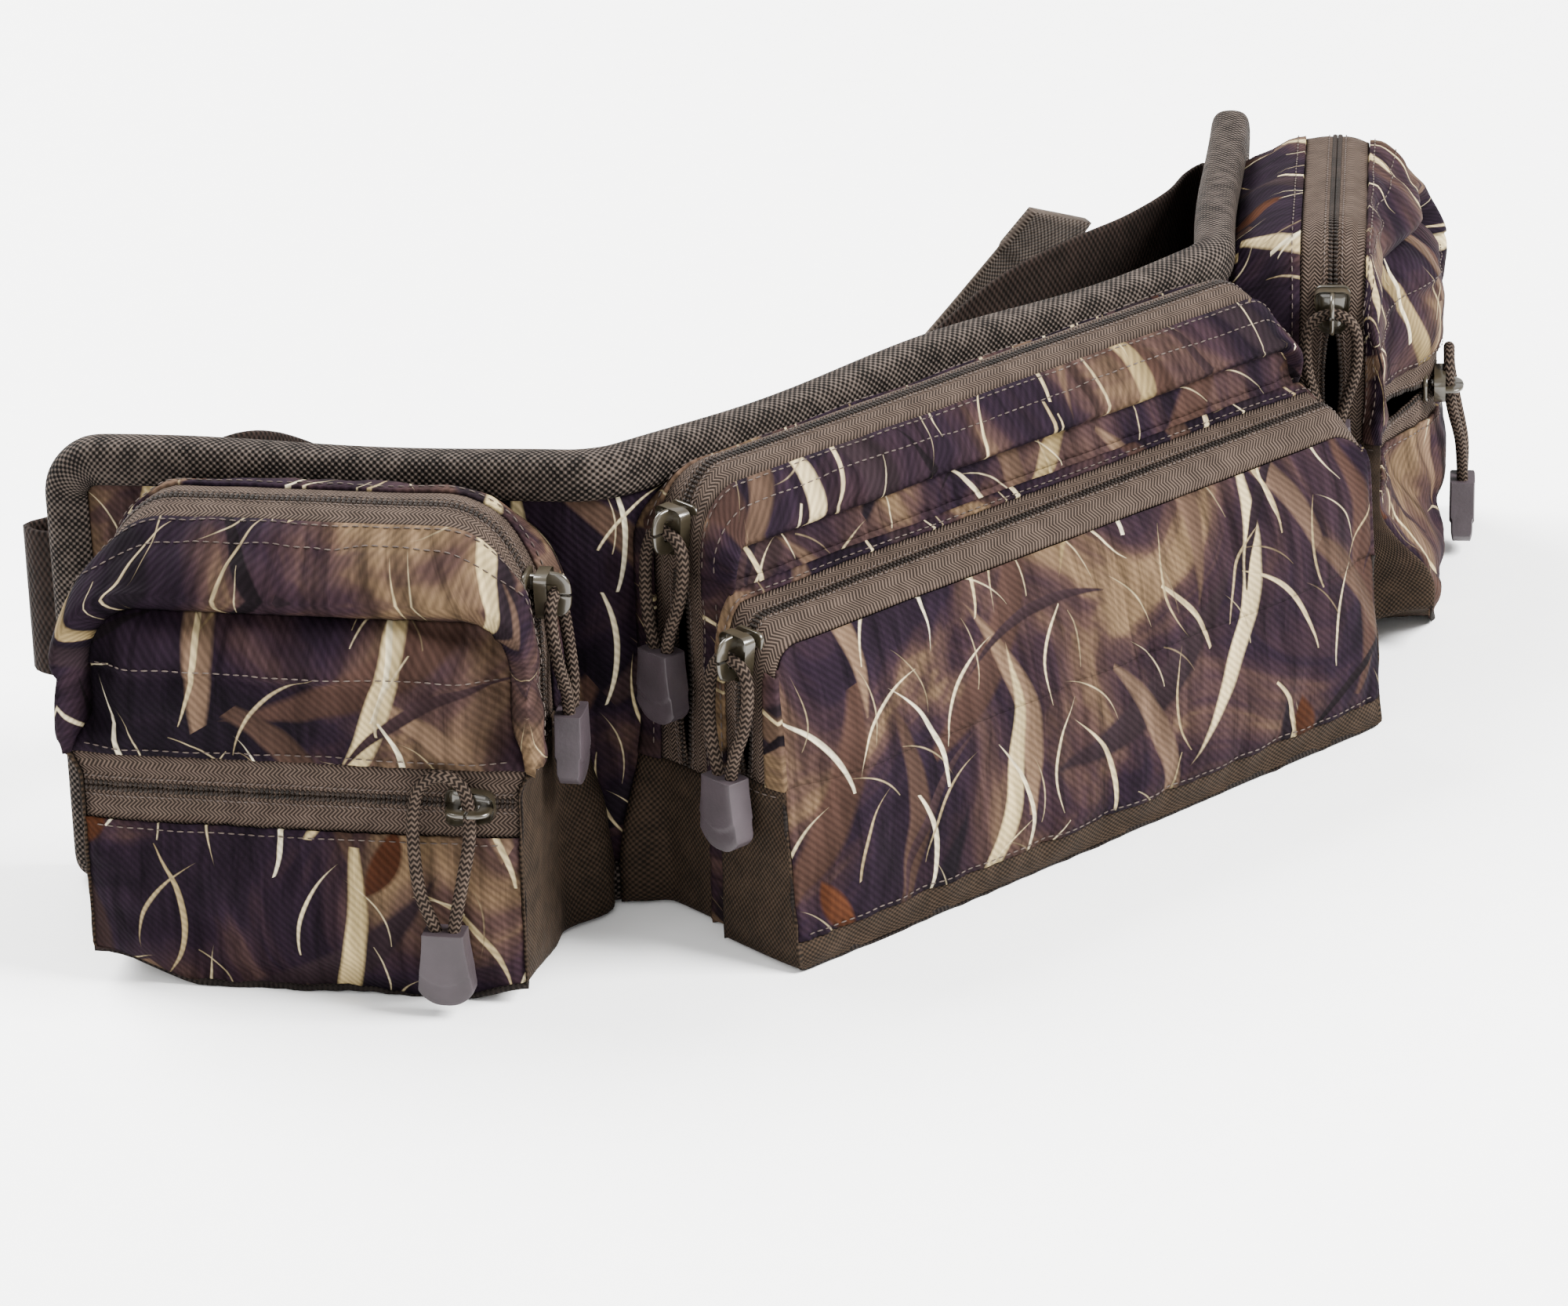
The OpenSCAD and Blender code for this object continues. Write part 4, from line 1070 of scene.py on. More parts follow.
# %% Open the zips and dress the side pouches
SIDE_ZIPS = {}
for nm, pieces in SIDE_PIECES.items():
    main = SIDE_ZIPS[nm] = gusset_zip(nm, SIDE_COLUMN, HEM, SLIDER_Z[nm], 2.4, far_side=True)
    level = SIDE_ZIPS[nm + "_pocket"] = level_zip(nm, ZIP_ROW, *GAPE[nm])
    for region, line, sign, reach in [
        ("rear_tape", main, -1, 9), ("lid_tape", main, 1, 9), ("low_tape", level, -1, 11), ("top_tape", level, 1, 11),
    ]:
        draw_back(pieces[region], line[1], sign, reach)
    lid = nm + "_lid"
    dress_all(pieces, nm + "_", [
        ("lower", "lower_gusset", "pack", "plain", 0.0),
        ("back", "back_gusset", "pack", "print", 0.6),
        ("rear_tape", "main_zip_tape", "pack", "tape", -0.5),
        ("lid_tape", "lid_zip_tape", lid, "tape", -0.5),
        ("gusset", "front_gusset", lid, "print", 0.7),
        ("panel", "front_panel", lid, "print", 0.4),
        ("pocket", "pocket_panel", "pack", "print", 0.7),
        ("low_tape", "pocket_zip_tapes", "pack", "tape", -0.5),
        ("top_tape", "pocket_zip_tapes", "pack", "tape", -0.5),
    ])

# %% [markdown]
# Behind each front pocket hangs a plain backing that keeps it apart from the main room. It shows only
# when the lid is open, so a single sheet with a slight sag is enough.

# %% Pocket backings
for side in (-1, 1):
    nm = SIDE_NAME[side]
    a, z = np.meshgrid(np.linspace(3, POUCH_W - 3, 29), np.linspace(3, HEM - 0.8, 19))
    sag = 1.6 * np.sin(math.pi * a / POUCH_W) * np.sin(math.pi * z / HEM)
    deep = 17.7 - 14.2 * ease((z - 62) / (HEM - 63))
    backing = grid_object(nm + "_backing", settled(side)(a, POUCH_D - deep - sag, z), np.stack([a, z], -1))
    if side > 0:
        turn_over(backing)
    dress(backing, nm + "_pocket_backing_sheet", nm + "_pocket_backing", "pack", "lining")
    print(backing.name, "hangs behind the pocket")

# %% [markdown]
# ## Centre pouch and its front pocket
# The wide centre pouch has the same build. Its lid rolls over the top of a front wall, which a flat
# pocket hides. The pocket's own zip lies on its slanted top edge and runs down both sides. The pocket
# leans back a little, and a strip of the plain cloth edges it at the bottom.

# %% Centre pouch
FLAT_W, FLAT_V, FLAT_ZIP, FLAT_H, FLAT_HEM, STRIP = 268, 44, 56, 114, 60, 10
MAIN_W, MAIN_D, MAIN_ZIP, MAIN_HEM, LID_Z = 256, 44, 21, 50, 118
MAIN_ROWS = np.concatenate([np.linspace(0, MAIN_HEM, 11), np.linspace(MAIN_HEM, LID_Z, 17)[1:], [121]])


def centre_tuck(z):
    w = ease((z - 112) / 10)
    return 1.2 + 2 * w, 0.5 + 2.8 * w, 2.4 * w


def centre_set(a, v, z):
    flare = np.where(a < MAIN_W / 2, foot_flare(v, 11, 10), foot_flare(v, 8, 10)) * ease(1.25 - z / MAIN_HEM)
    side = ease(1 - a / 26) - ease(1 - (MAIN_W - a) / 26)
    return centre_place(a - MAIN_W / 2 - flare * side, v, z)


grids = pouch_grids(
    MAIN_W, MAIN_ROWS, (8, 60), [(1, 137, 22, 0), (MAIN_ZIP, 150, 16, 0), (MAIN_D, 131, 8, 1)],
    lambda z: profile(z, 124, MAIN_ZIP, MAIN_D), centre_tuck,
    [1, 5.4, MAIN_ZIP - TAPE, MAIN_ZIP - TAPE * 2 / 3, MAIN_ZIP - TAPE / 3, MAIN_ZIP], TAPE_STEPS,
    np.linspace(0, 1, 6)[1:],
)
gusset, face, feet = grids
regions = [
    mark(gusset, lambda a, v, z: "lower" if z < MAIN_HEM and v < MAIN_ZIP + TAPE else
         "back" if v < MAIN_ZIP - TAPE else "rear_tape" if v < MAIN_ZIP else
         ("side_tape" if z < LID_Z else "lid_tape") if v < MAIN_ZIP + TAPE else
         "lid" if z > LID_Z else "wall"),
    mark(face, lambda a, v, z: "lid" if z > LID_Z else "wall"),
    mark(feet, lambda a, v, z: "lower" if v < MAIN_ZIP + TAPE else "wall"),
]
hold_g, seam_g = firm(gusset, MAIN_ZIP, MAIN_HEM)
hold_f = np.where(face[..., 2] > LID_Z, 0.6, 1.0)
pieces = sew(
    "centre", centre_set, grids, regions, (hold_g, hold_f, 0.9), (seam_g, 0, 0),
    (MAIN_ZIP, FLAT_H, 3100), (3, 0.015, 4), folds(9, (38, 15), 1.7, 0.3),
)
ZIP_COLUMN = 5
CENTRE_ZIP = gusset_zip("centre", ZIP_COLUMN, MAIN_HEM, SLIDER_Z["centre"], 2.6, far_side=False)
for region, sign in (("rear_tape", -1), ("side_tape", 1), ("lid_tape", 1)):
    draw_back(pieces[region], CENTRE_ZIP[1], sign)
dress_all(pieces, "centre_", [
    ("lower", "lower_gusset", "pack", "plain", 0.0),
    ("back", "back_gusset", "pack", "print", 0.6),
    ("rear_tape", "main_zip_tape", "pack", "tape", -0.5),
    ("side_tape", "main_zip_tape", "pack", "tape", -0.5),
    ("lid_tape", "lid_zip_tape", "centre_lid", "tape", -0.5),
    ("lid", "lid", "centre_lid", "print", 0.7),
    ("wall", "front_wall", "pack", "print", 0.6),
])

# %% Front pocket
FLAT_D, FLAT_TAPE, EDGE_V = 78, 9.5, 48
FLAT_ROWS = np.concatenate([
    np.linspace(0, STRIP, 4), np.linspace(STRIP, FLAT_HEM, 14)[1:], np.linspace(FLAT_HEM, 91, 9)[1:],
])


def flat_front(z):
    return FLAT_D - 10 * z / FLAT_H - 3 * ease((z - 92) / 14)


def flat_tuck(z):
    return np.full(np.shape(z), 1.2), np.full(np.shape(z), 0.4), np.zeros(np.shape(z))


grids = pouch_grids(
    FLAT_W, FLAT_ROWS, (8, 66), [(FLAT_V, 116, 9, 0), (FLAT_ZIP, 112.5, 10, 0), (FLAT_D, 104.5, 14, 1)],
    flat_front, flat_tuck, [FLAT_V, 46, EDGE_V, 50.7, 53.3, FLAT_ZIP], [3, 6, FLAT_TAPE], np.linspace(0, 1, 4)[1:],
)
gusset, face, feet = grids
regions = [
    mark(gusset, lambda a, v, z: "gusset" if z < FLAT_HEM else "edge" if v < EDGE_V else "rear_tape"
         if v < FLAT_ZIP else "lid_tape" if v < FLAT_ZIP + FLAT_TAPE or z > 97 else "lid"),
    mark(face, lambda a, v, z: "gusset" if z < STRIP else "panel" if z < FLAT_HEM else "lid"),
    mark(feet, lambda a, v, z: "gusset"),
]
z_g, v_g, z_f = gusset[..., 2], gusset[..., 1], face[..., 2]
hold_g = np.where(z_g > FLAT_HEM - 0.1, 0.95, 0.3)
hold_g[:, 0], hold_g[:, -1] = 1, 0.9
hold_f = np.zeros(face.shape[:2])
hold_f[[0, -1]], hold_f[:, [0, -1]] = 0.95, 0.95
seam_g = np.where((abs(v_g - FLAT_ZIP) < 0.1) & (z_g > FLAT_HEM - 0.1), 0.8, 0.0)
seam_f = np.where(abs(z_f - STRIP) < 0.2, 0.6, 0.0)
pieces = sew(
    "pocket", lambda a, v, z: centre_place(a - FLAT_W / 2, v, z), grids, regions,
    (hold_g, hold_f, 0.9), (seam_g, seam_f, 0), (FLAT_ZIP, FLAT_H, 4300), (3, 0.015, 6),
    folds(5, (46, 30), 1.9, 0.5),
)
FLAT_LINE = gusset_zip("pocket", ZIP_COLUMN, FLAT_HEM, SLIDER_Z["pocket"], 2.4, far_side=False)
for region, sign in (("rear_tape", -1), ("lid_tape", 1)):
    draw_back(pieces[region], FLAT_LINE[1], sign)
dress_all(pieces, "front_pocket_", [
    ("gusset", "gusset", "pack", "plain", 0.0),
    ("panel", "panel", "pack", "print", 0.5),
    ("edge", "zip_tape", "pack", "print", 0.5),
    ("rear_tape", "zip_tape", "pack", "tape", -0.4),
    ("lid_tape", "lid_zip_tape", "front_pocket_lid", "tape", -0.4),
    ("lid", "lid", "front_pocket_lid", "print", 0.5),
])

# %% [markdown]
# ## Belt panel
# The panel is a foam pad between printed cloth and a dark lining. The pad is laid as a thin closed
# pillow along the panel's plan line and swells a little between its bound edges. A thick woven binding
# wraps the edge: one section, swept round the whole panel.

# %% Belt panel
def panel_place(s, v, z):
    """Point at length s along the panel's outer face, v out of it; the upper edge waves a little."""
    s, v, z = np.broadcast_arrays(*(np.asarray(q, float) for q in (s, v, z)))
    free = ease((z - 100) / 50)
    z, v = z + 1.1 * np.sin(s / 23) * free, v + 1.2 * np.sin(s / 31 + 1) * free
    (left_len, left_bend), (right_len, right_bend) = WING[-1], WING[1]
    left_arc, right_arc = (BEND_R * math.radians(b) for b in (left_bend, right_bend))
    out = np.empty(s.shape + (3,))
    stops = np.cumsum([left_len, left_arc, CENTRE_LEN, right_arc])
    part = np.searchsorted(stops, s, side="right")
    out[part == 0] = wing_place(-1, s, v, z)[part == 0]
    out[part == 4] = wing_place(1, stops[3] + right_len - s, v, z)[part == 4]
    out[part == 2] = centre_place(s - stops[1] - CENTRE_LEN / 2, v, z)[part == 2]
    for k, side, turned in ((1, -1, (stops[1] - s) / BEND_R), (3, 1, (s - stops[2]) / BEND_R)):
        arc = np.stack([
            side * (CENTRE_LEN / 2 + (BEND_R + v) * np.sin(turned)),
            PANEL_Y + BEND_R - (BEND_R + v) * np.cos(turned), z,
        ], -1)
        out[part == k] = arc[part == k]
    return out


PANEL_S = CENTRE_LEN + sum(length + BEND_R * math.radians(bend) for length, bend in WING.values())
PAD_LOW, PAD_TOP, PAD_R = 2.5, 148, 16
across = np.linspace(0.8, PANEL_S - 0.8, 122)
end_gap = np.minimum(across, PANEL_S - across)
top = PAD_TOP - PAD_R + np.sqrt(np.clip(PAD_R ** 2 - np.clip(PAD_R - end_gap, 0, None) ** 2, 0, None))
share = np.linspace(0, 1, 31)
s, z = np.broadcast_arrays(across[None], PAD_LOW + (top - PAD_LOW)[None] * share[:, None])
rim = np.minimum(np.minimum(share, 1 - share)[:, None] * 145, end_gap[None])
crown = 1.2 * ease(rim / 20)
uv = np.stack([s, z], -1)
front = patch("pad_front", panel_place(s, -0.6 + crown, z), uv, np.full((30, 121), "outer"))
rear = patch(
    "pad_rear", panel_place(s, -PANEL_T + 0.2 - crown, z)[:, ::-1], uv[:, ::-1], np.full((30, 121), "inner"),
)
only(front, rear)
bpy.ops.object.join()
pad = bpy.context.object
in_edit_mode(
    pad, lambda: bpy.ops.mesh.select_all(action="DESELECT"), bpy.ops.mesh.select_non_manifold,
    bpy.ops.mesh.bridge_edge_loops,
)
face_out(pad)
edge = np.concatenate([rim.ravel(), rim[:, ::-1].ravel()])
swell(pad, np.where(edge < 11, 1.0, 0.25), 2.0, 0.005, 2)
for region, piece in cut_apart(pad).items():
    outer = region == "outer"
    piece.name = piece.data.name = "belt_panel_front" if outer else "belt_panel_lining"
    piece.data.materials.clear()
    piece.data.materials.append(FINISHES["print" if outer else "lining"])
    piece.data.polygons.foreach_set("material_index", np.zeros(len(piece.data.polygons), int))
    piece.vertex_groups.clear()
    apply(piece, "SUBSURF", levels=1, render_levels=1)
    smooth(piece)
    if outer:
        enter(piece, "pack", "printed_cloth", "outer_panel", "foam_pad")
    else:
        enter(piece, "pack", "lining", "lining")
    print(piece.name, len(piece.data.polygons), "faces")

# %% Edge binding
def bound_edge(step):
    """Line (s, z) round the panel, anticlockwise seen from the front, with its inward direction."""
    low, high, corner, foot = 1.5, 149, 16, 5
    line = []
    for cx, cz, r, a0 in [
        (foot, low + foot, foot, 180), (PANEL_S - foot, low + foot, foot, 270),
        (PANEL_S - corner, high - corner, corner, 0), (corner, high - corner, corner, 90),
    ]:
        turn = np.radians(np.linspace(a0, a0 + 90, 9))
        line += list(np.stack([cx + r * np.cos(turn), cz + r * np.sin(turn)], 1))
    line = evenly(np.vstack([line, line[:1]]), step)
    ahead = np.roll(line[:-1], -1, 0) - np.roll(line[:-1], 1, 0)
    ahead = np.vstack([ahead, ahead[:1]])
    ahead /= np.linalg.norm(ahead, axis=1)[:, None]
    return line, np.stack([-ahead[:, 1], ahead[:, 0]], 1)


SECTION = np.array([
    (12, 0.3), (11.5, 1.5), (8.5, 2.3), (4.5, 2.5), (1, 1.9), (-0.7, 0.3), (-1.1, -1.8), (-1.2, -3.7),
    (-1.1, -5.6), (-0.7, -7.7), (1, -9.3), (4.5, -9.9), (8.5, -9.7), (11.5, -8.9), (12, -7.7),
])
edge_line, edge_in = bound_edge(2.6)
q, n = SECTION.T
s, z = (edge_line[:, [k]] + edge_in[:, [k]] * q for k in (0, 1))
pucker = 0.22 * np.sin(run_of(edge_line) * 2 * math.pi / 5.2)[:, None] * np.where(abs(q - 10) < 3, 1, 0.3)
pucker[-1] = pucker[0]
uv = np.stack(np.broadcast_arrays(run_of(edge_line)[:, None], run_of(SECTION)), -1)
binding = grid_object(
    "edge_binding_tape", panel_place(s, n + np.sign(n + 3.7) * pucker, z)[:, ::-1], uv[:, ::-1],
)
merge(binding)
binding.data.materials.append(FINISHES["binding"])
apply(binding, "SOLIDIFY", thickness=0.9 * MM, offset=-1)
apply(binding, "SUBSURF", levels=1, render_levels=1)
smooth(binding)
enter(binding, "pack", "edge_binding", "edge_binding")
print("binding", round(run_of(edge_line)[-1]), "mm round")

# %% [markdown]
# ## Webbing belt
# The belt is 50 mm nylon webbing, flat and a little stiff. Simulation would crumple it, so each strap is laid
# directly between an upper and a lower edge, with the rounded edges of woven webbing. The right strap runs in a curve
# from the pack to the buckle's plug, and the tail goes with the plug.

# %% Webbing belt
WEB_W, WEB_T, WEB_B = 50, 2.0, 9.6


def strap_edges(side, start, heights, run, end):
    points = [wing_place(side, u, -(b + WEB_B), z) for (u, b), z in zip(start, heights)]
    points = np.array(points + [np.array(p, float) for p in run + [end]])
    return points + [0, 0, WEB_W / 2], points - [0, 0, WEB_W / 2]


def webbing(name, upper, lower, look, hem=0.0):
    """A band between two edges; hem is the length of a doubled end in mm."""
    both = smooth_line(np.hstack([upper, lower]), 4.0)
    upper, lower = both[:, :3], both[:, 3:]
    middle, down = (upper + lower) / 2, lower - upper
    out = np.cross(np.gradient(middle, axis=0), down)
    out /= np.linalg.norm(out, axis=1)[:, None]
    run = run_of(middle)
    half = np.full(len(run), WEB_T / 2)
    half[run > run[-1] - hem] *= 1.7 if hem else 1
    share = np.r_[0, 0.012, np.linspace(0.05, 0.95, 12), 0.988, 1]
    lens = np.where((share > 0.01) & (share < 0.99), 1.0, 0.0)
    ring_share = np.r_[share, share[::-1][1:-1], share[:1]]
    ring_side = np.r_[lens, -lens[::-1][1:-1], lens[:1]]
    points = (
        upper[:, None] + down[:, None] * ring_share[None, :, None]
        + out[:, None] * (half[:, None] * ring_side[None])[..., None]
    )
    uv = np.stack(np.broadcast_arrays(run[:, None], ring_share[None] * WEB_W), -1)
    obj = grid_object(name, points, uv)
    merge(obj, 0.00002)
    close_ends(obj)
    obj.data.materials.append(FINISHES[look])
    smooth(obj)
    print(name, round(run[-1]), "mm long")
    return obj, (WEB_W * MM, run[-1] * MM)


upper, lower = strap_edges(
    -1, [(46, 0), (20, 0), (0, 0), (-9, 1), (-14, 6), (-10, 11), (0, 13), (26, 24)],
    [91, 91, 91, 91, 91, 91, 94, 105],
    [(-176, 156, 110), (-145, 161, 96), (-115, 161, 72), (-88, 155, 50), (-66, 147, 36), (-54, 143, 32)],
    (-47.3, 142, 32),
)
left_strap, flat = webbing("left_strap_webbing", upper, lower, "webbing")
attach(left_strap, "pack")
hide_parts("left_strap")
upper, lower = strap_edges(
    1, [(52, 0), (36, 0), (22, 2), (30, 8), (48, 14)], [111, 111, 110, 109, 108],
    [(176, 108, 106), (148, 110, 103), (120, 116, 95), (94, 126, 76), (74, 134, 56), (52, 140, 40), (30, 142, 32)],
    (19.3, 142, 32),
)
right_strap, flat = webbing("right_strap_webbing", upper, lower, "webbing")
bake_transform(right_strap)
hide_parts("right_strap")
TAIL_START = np.array([19.3, 145.2, 32])
upper = np.array([
    TAIL_START + [0, 0, WEB_W / 2], (46, 149, 57), (74, 151, 64), (98, 149, 80), (122, 142, 102), (146, 124, 137),
])
lower = np.array([
    TAIL_START - [0, 0, WEB_W / 2], (48, 151, 7), (84, 157, 15), (114, 159, 33), (142, 156, 58), (188, 138, 119),
])
strap_tail, flat = webbing("strap_tail_webbing", upper, lower, "tail", hem=24)
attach(strap_tail, "buckle_plug")
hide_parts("strap_tail")

# %% [markdown]
# ## Buckle
# A side release buckle of dark acetal joins the belt behind the pack. Its halves start as boxes. The
# mouth, the side windows and the strap slots are cut out, and every edge is rounded as a mould leaves it.

# %% Buckle
BUCKLE = np.array([0, 142, 32.0])
SOCKET_L, LOOP_L = 36, 11


def box(name, low, high, at=BUCKLE):
    low, high = np.array(low, float), np.array(high, float)
    bpy.ops.mesh.primitive_cube_add(size=1, location=tuple((at + (low + high) / 2) * MM))
    obj = bpy.context.object
    obj.name = name
    obj.scale = tuple((high - low) * MM)
    bpy.ops.object.transform_apply(location=True, rotation=True, scale=True)
    return obj


def carve(obj, kind, *tools):
    for tool in tools:
        apply(obj, "BOOLEAN", operation=kind, object=tool, solver="EXACT")
        bpy.data.objects.remove(tool)


def soften(obj, width):
    apply(obj, "BEVEL", width=width * MM, segments=3, limit_method="ANGLE", angle_limit=math.radians(40))
    only(obj)
    bpy.ops.object.shade_smooth_by_angle(angle=math.radians(35))


def strap_loop(name, x0):
    loop = box(name, (x0, -3.2, -31), (x0 + LOOP_L, 3.2, 31))
    carve(loop, "DIFFERENCE", box("slot", (x0 + 4, -9, -26), (x0 + LOOP_L - 3, 9, 26)))
    return loop


socket = box("buckle_socket_body", (-SOCKET_L, -6.5, -31), (0, 6.5, 31))
carve(
    socket, "DIFFERENCE",
    box("room", (-SOCKET_L + 2, -4.5, -29), (2, 4.5, 29)),
    box("window", (-SOCKET_L + 8, -4.5, -40), (-10, 4.5, 40)),
    box("thumb_a", (-SOCKET_L + 9, -9, 25.5), (-11, 9, 40)),
    box("thumb_b", (-SOCKET_L + 9, -9, -40), (-11, 9, -25.5)),
)
carve(socket, "UNION", strap_loop("socket_loop", -SOCKET_L - LOOP_L + 0.2))
soften(socket, 0.9)
plug = box("buckle_plug_body", (0.4, -6.5, -31), (8, 6.5, 31))
carve(
    plug, "UNION",
    box("prong_a", (-30, -4.1, 19.6), (1, 4.1, 28.6)),
    box("prong_b", (-30, -4.1, -28.6), (1, 4.1, -19.6)),
    box("tongue", (-24, -4.1, -6), (1, 4.1, 6)),
    strap_loop("plug_loop", 7.8),
)
soften(plug, 0.8)
for obj, node, body in ((socket, "buckle_socket", "pack"), (plug, "buckle_plug", "buckle_plug")):
    obj.data.materials.append(FINISHES["buckle"])
    enter(obj, body, "buckle_plastic", node)
    print(obj.name, len(obj.data.polygons), "faces")

# %% [markdown]
# ## Sliders and cord ends
# A zip slider is a small casting: two plates with broad rounded shoulders, a post that parts the coil,
# and a bridge for the pull. A cord end is a flat wedge of soft plastic with a curved step near its
# foot. Each is modelled once at the origin and copied to the six zips, each copy with its own mesh.

# %% Slider, modelled once
def shaped_plate(x0, x1):
    obj = box("plate", (x0, -6.5, -7.5), (x1, 6.5, 7.5), at=np.zeros(3))
    co = points_of(obj)
    co[co[:, 2] < 0, 1] *= 0.68
    move_to(obj, co)
    in_edit_mode(obj, lambda: bpy.ops.mesh.select_all(action="DESELECT"))
    for e in obj.data.edges:
        a, b = (obj.data.vertices[i].co for i in e.vertices)
        e.select = abs(a.x - b.x) > 1e-5
    bpy.ops.object.mode_set(mode="EDIT")
    bpy.ops.mesh.select_mode(type="EDGE")
    bpy.ops.mesh.bevel(offset=3.0 * MM, segments=5, affect="EDGES")
    bpy.ops.object.mode_set(mode="OBJECT")
    apply(obj, "BEVEL", width=0.45 * MM, segments=2, limit_method="ANGLE", angle_limit=math.radians(50))
    return obj


def arch():
    """The bridge: a flat rounded bar bent over the plate."""
    bpy.ops.curve.primitive_nurbs_path_add()
    obj = bpy.context.object
    curve = obj.data
    curve.splines.clear()
    path = [(1.0, -5), (4.4, -5.3), (7.2, -4.4), (7.7, 0), (7.2, 4.4), (4.4, 5.3), (1.0, 5)]
    spline = curve.splines.new("NURBS")
    spline.points.add(len(path) - 1)
    for p, (x, z) in zip(spline.points, path):
        p.co = (x * MM, 0, z * MM, 1)
    spline.use_endpoint_u = True
    spline.order_u = 3
    curve.dimensions = "3D"
    curve.twist_mode = "Z_UP"
    curve.extrude = 1.5 * MM
    curve.bevel_depth = 0.75 * MM
    curve.bevel_resolution = 2
    curve.resolution_u = 4
    curve.use_fill_caps = True
    only(obj)
    bpy.ops.object.convert(target="MESH")
    return bpy.context.object


post = box("post", (-3.4, -1.5, 1.5), (0.8, 1.5, 6.5), at=np.zeros(3))
apply(post, "BEVEL", width=0.8 * MM, segments=2)
only(shaped_plate(0.5, 2.0), shaped_plate(-4.6, -3.1), arch(), post)
bpy.ops.object.join()
slider_model = bpy.context.object
slider_model.name = "slider_model"
merge(slider_model, 0.00002)
face_out(slider_model)
bpy.ops.object.shade_smooth_by_angle(angle=math.radians(40))
slider_model.data.materials.append(FINISHES["metal"])
print("slider", len(slider_model.data.polygons), "faces")

# %% Cord end, modelled once
end_model = box("cord_end_model", (-4.5, -6.5, -24), (4.5, 6.5, 0), at=np.zeros(3))
in_edit_mode(end_model, lambda: bpy.ops.mesh.subdivide(number_cuts=31))
co = points_of(end_model) / MM
down, across = -co[:, 2] / 24, co[:, 1] / 6.5
foot = np.clip((down - 0.72) / 0.28, 0, 1)
co[:, 1] = across * (6.5 + 2 * ease(down * 1.15))
co[:, 2] += 4.4 * foot * abs(across) ** 2.6
step = ease((-16.5 + 3.6 * across ** 2 - co[:, 2]) / 0.5)
co[:, 0] *= (1 - 0.1 * abs(across) ** 6) * (1 - 0.2 * foot ** 3) * (1 - 0.13 * step)
move_to(end_model, co * MM)
apply(end_model, "BEVEL", width=0.9 * MM, segments=3, limit_method="ANGLE", angle_limit=math.radians(60))
only(end_model)
bpy.ops.object.shade_smooth_by_angle(angle=math.radians(50))
end_model.data.materials.append(FINISHES["cord_end"])
print("cord end", len(end_model.data.polygons), "faces")

# %% Six sliders and cord ends
def copy_to(model, name, matrix):
    only(model)
    bpy.ops.object.duplicate(linked=False)
    obj = bpy.context.object
    obj.name = obj.data.name = name
    obj.data.transform(matrix)
    if matrix.determinant() < 0:
        obj.data.flip_normals()
    return obj


QUARTER = np.array([[1, 0, 0], [0, 0, -1], [0, 1, 0]], float)
for name in PULLS:
    origin, out, across, up = slider_frame(name)
    axes = np.array([out, across, up]).T
    turned = axes @ QUARTER if name in HOOKED else axes
    matrix = Matrix(turned.tolist()).to_4x4()
    matrix.translation = Vector(origin * MM)
    slider = copy_to(slider_model, name + "_slider_casting", matrix)
    enter(slider, name + "_slider", "slider_metal", name + "_slider")
    stand, middle = end_place(name)
    matrix = Matrix(axes.tolist()).to_4x4()
    matrix.translation = Vector(in_frame(name, (stand, middle, -DROP)) * MM)
    end = copy_to(end_model, name + "_moulded_end", matrix)
    enter(end, name + "_pull", "cord_end_plastic", name + "_cord_end")
for model in (slider_model, end_model):
    bpy.data.objects.remove(model)
print(len(PULLS), "sliders and cord ends")

# %% [markdown]
# ## Sewing thread
# Now that every cloth piece has its final shape, the stitch rows are drawn on it. A coil and its row of
# chain stitches run along the inner edge of every zip tape.

# %% Sewing thread
def row_at(shell, z):
    heights = SHELLS[shell][2][1][:, SHELLS[shell][2][1].shape[1] // 2, 2]
    return float(np.interp(z, heights, np.arange(len(heights))))


def face_row(shell, body, z, inset=0.8):
    c = np.linspace(inset, SHELLS[shell][0][1].shape[1] - 1 - inset, 200)
    stitch(body, shell, 1, np.full(200, row_at(shell, z)), c, rise=0.9)


def gusset_row(shell, body, column, low, high, proud=0.9):
    """Stitches along a gusset's column, on the stretches between two heights."""
    z = SHELLS[shell][2][0][:, int(round(column)), 2]
    rows = np.flatnonzero((z > low) & (z < high))
    for part in np.split(rows, np.flatnonzero(np.diff(rows) > 1) + 1):
        stitch(body, shell, 0, part, np.full(len(part), column), rise=proud)


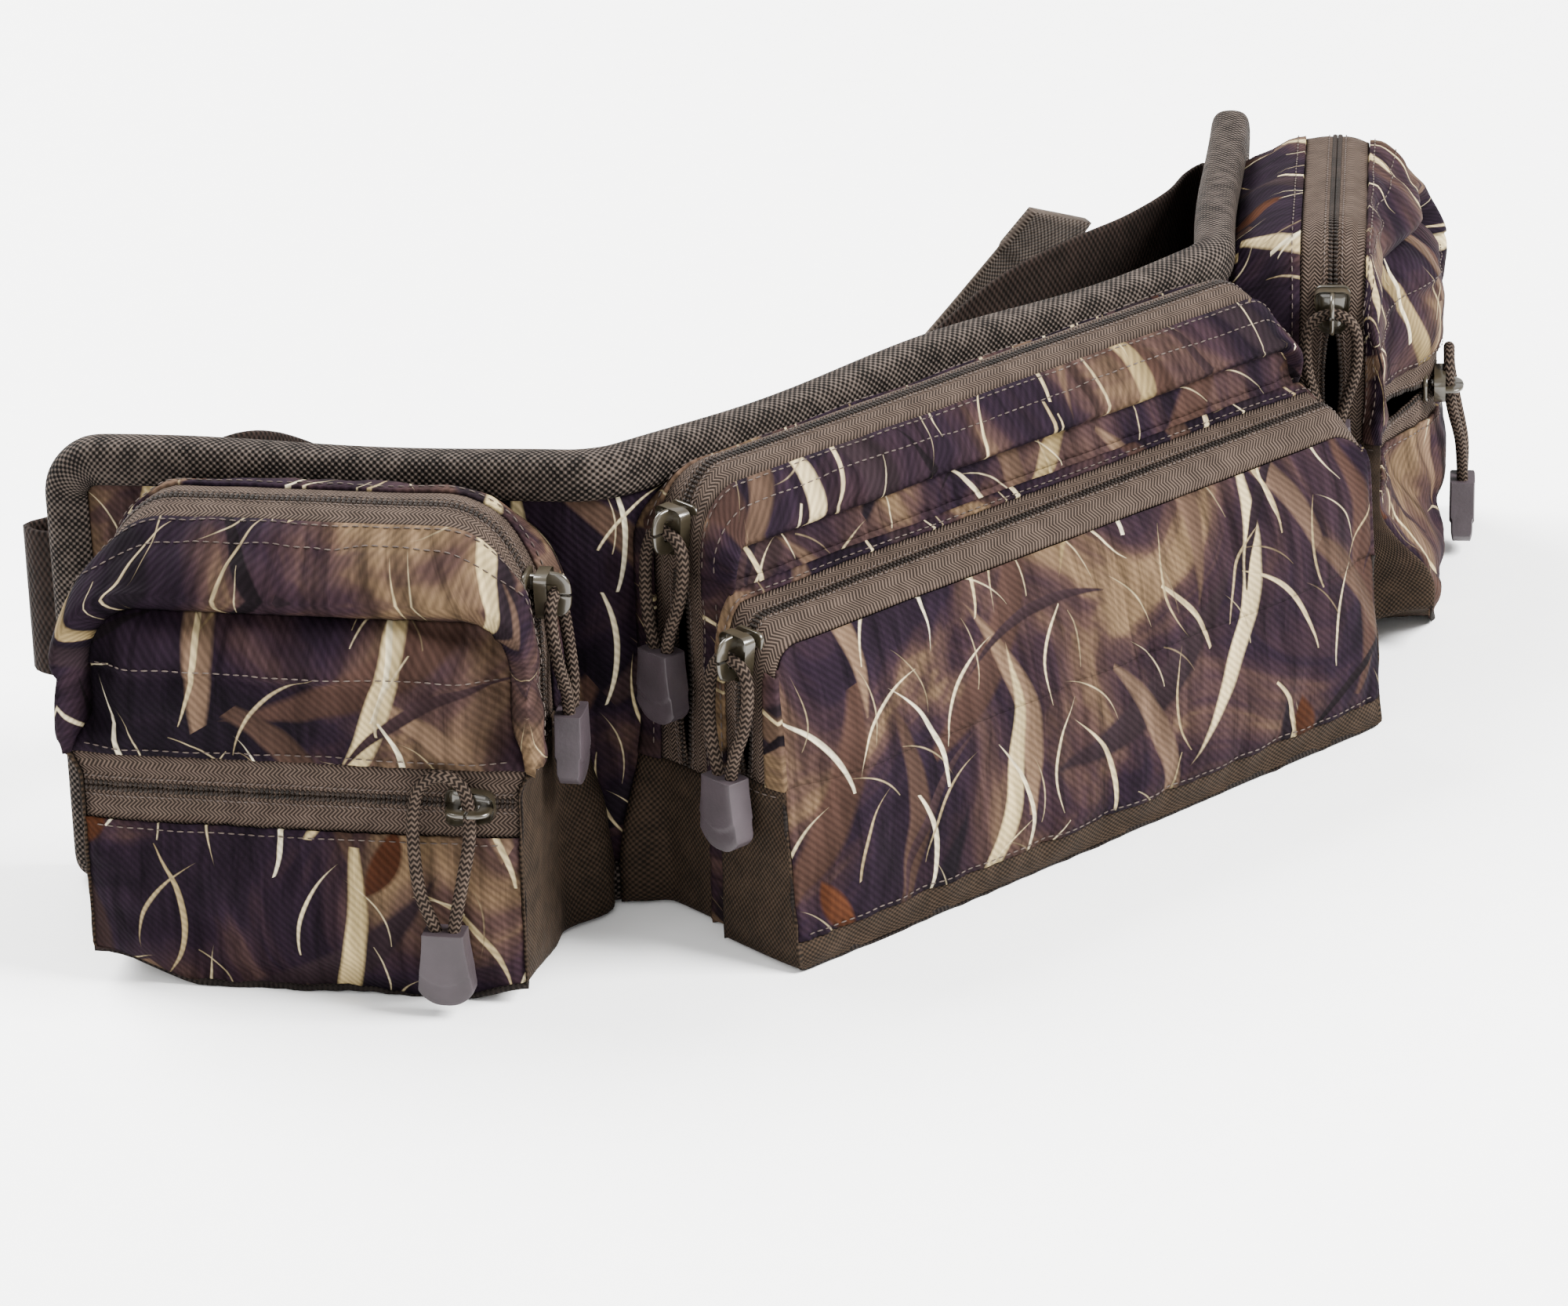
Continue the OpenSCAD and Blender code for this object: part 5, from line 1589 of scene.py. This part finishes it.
for nm in ("left", "right"):
    lid = nm + "_lid"
    r, line = SIDE_ZIPS[nm]
    zip_rows(nm, 0, r, np.full(len(r), float(SIDE_COLUMN)), (0, 1), line, ("pack", lid))
    c, line = SIDE_ZIPS[nm + "_pocket"]
    zip_rows(nm, 1, np.full(len(c), float(ZIP_ROW)), c.astype(float), (1, 0), line, ("pack", "pack"))
    for column in (10.4, 12.6):
        gusset_row(nm, lid, column, HEM + 1, 200)
    gusset_row(nm, "pack", 3.6, HEM + 1, 200)
    for z, body in ((HEM + 2.2, lid), (LAP + 3.2, lid), (POCKET_TOP - 2, "pack")):
        face_row(nm, body, z)
    r = row_at(nm, HEM - 2.5)
    for k in (r, len(SHELLS[nm][0][0]) - 1 - r):
        stitch("pack", nm, 0, np.full(60, k), np.linspace(0.5, 17.5, 60))
heights = SHELLS["centre"][2][0][CENTRE_ZIP[0], ZIP_COLUMN, 2]
for part in np.split(np.arange(len(heights)), np.flatnonzero(np.diff(heights > LID_Z)) + 1):
    opened = tuple(q[part] for q in CENTRE_ZIP[1])
    upper = "centre_lid" if heights[part].mean() > LID_Z else "pack"
    column = np.full(len(part), float(ZIP_COLUMN))
    zip_rows("centre", 0, CENTRE_ZIP[0][part], column, (0, 1), opened, ("pack", upper))
r, line = FLAT_LINE
zip_rows("pocket", 0, r, np.full(len(r), float(ZIP_COLUMN)), (0, 1), line, ("pack", "front_pocket_lid"))
for column in (8.4, 10.4):
    gusset_row("centre", "centre_lid", column, LID_Z + 1, 200)
    gusset_row("centre", "pack", column, MAIN_HEM + 2, LID_Z)
gusset_row("centre", "pack", 1.5, MAIN_HEM + 2, 200)
gusset_row("pocket", "pack", 1.6, FLAT_HEM + 1, 200)
r = row_at("pocket", FLAT_HEM - 2.5)
for k in (r, len(SHELLS["pocket"][0][0]) - 1 - r):
    stitch("pack", "pocket", 0, np.full(60, k), np.linspace(0.5, 10.5, 60))
face_row("pocket", "pack", STRIP + 2)
BINDING_STITCH = 10.4
where = edge_line + edge_in * BINDING_STITCH
low, high = (panel_place(where[:, 0], v, where[:, 1]) for v in (2.0, 3.0))
ROWS.setdefault(("pack", "thread"), []).append((low, high - low, 3.5, (2.3, 0.6, 0.5)))
for (body, look), rows in ROWS.items():
    thread_rows(body, look, rows)
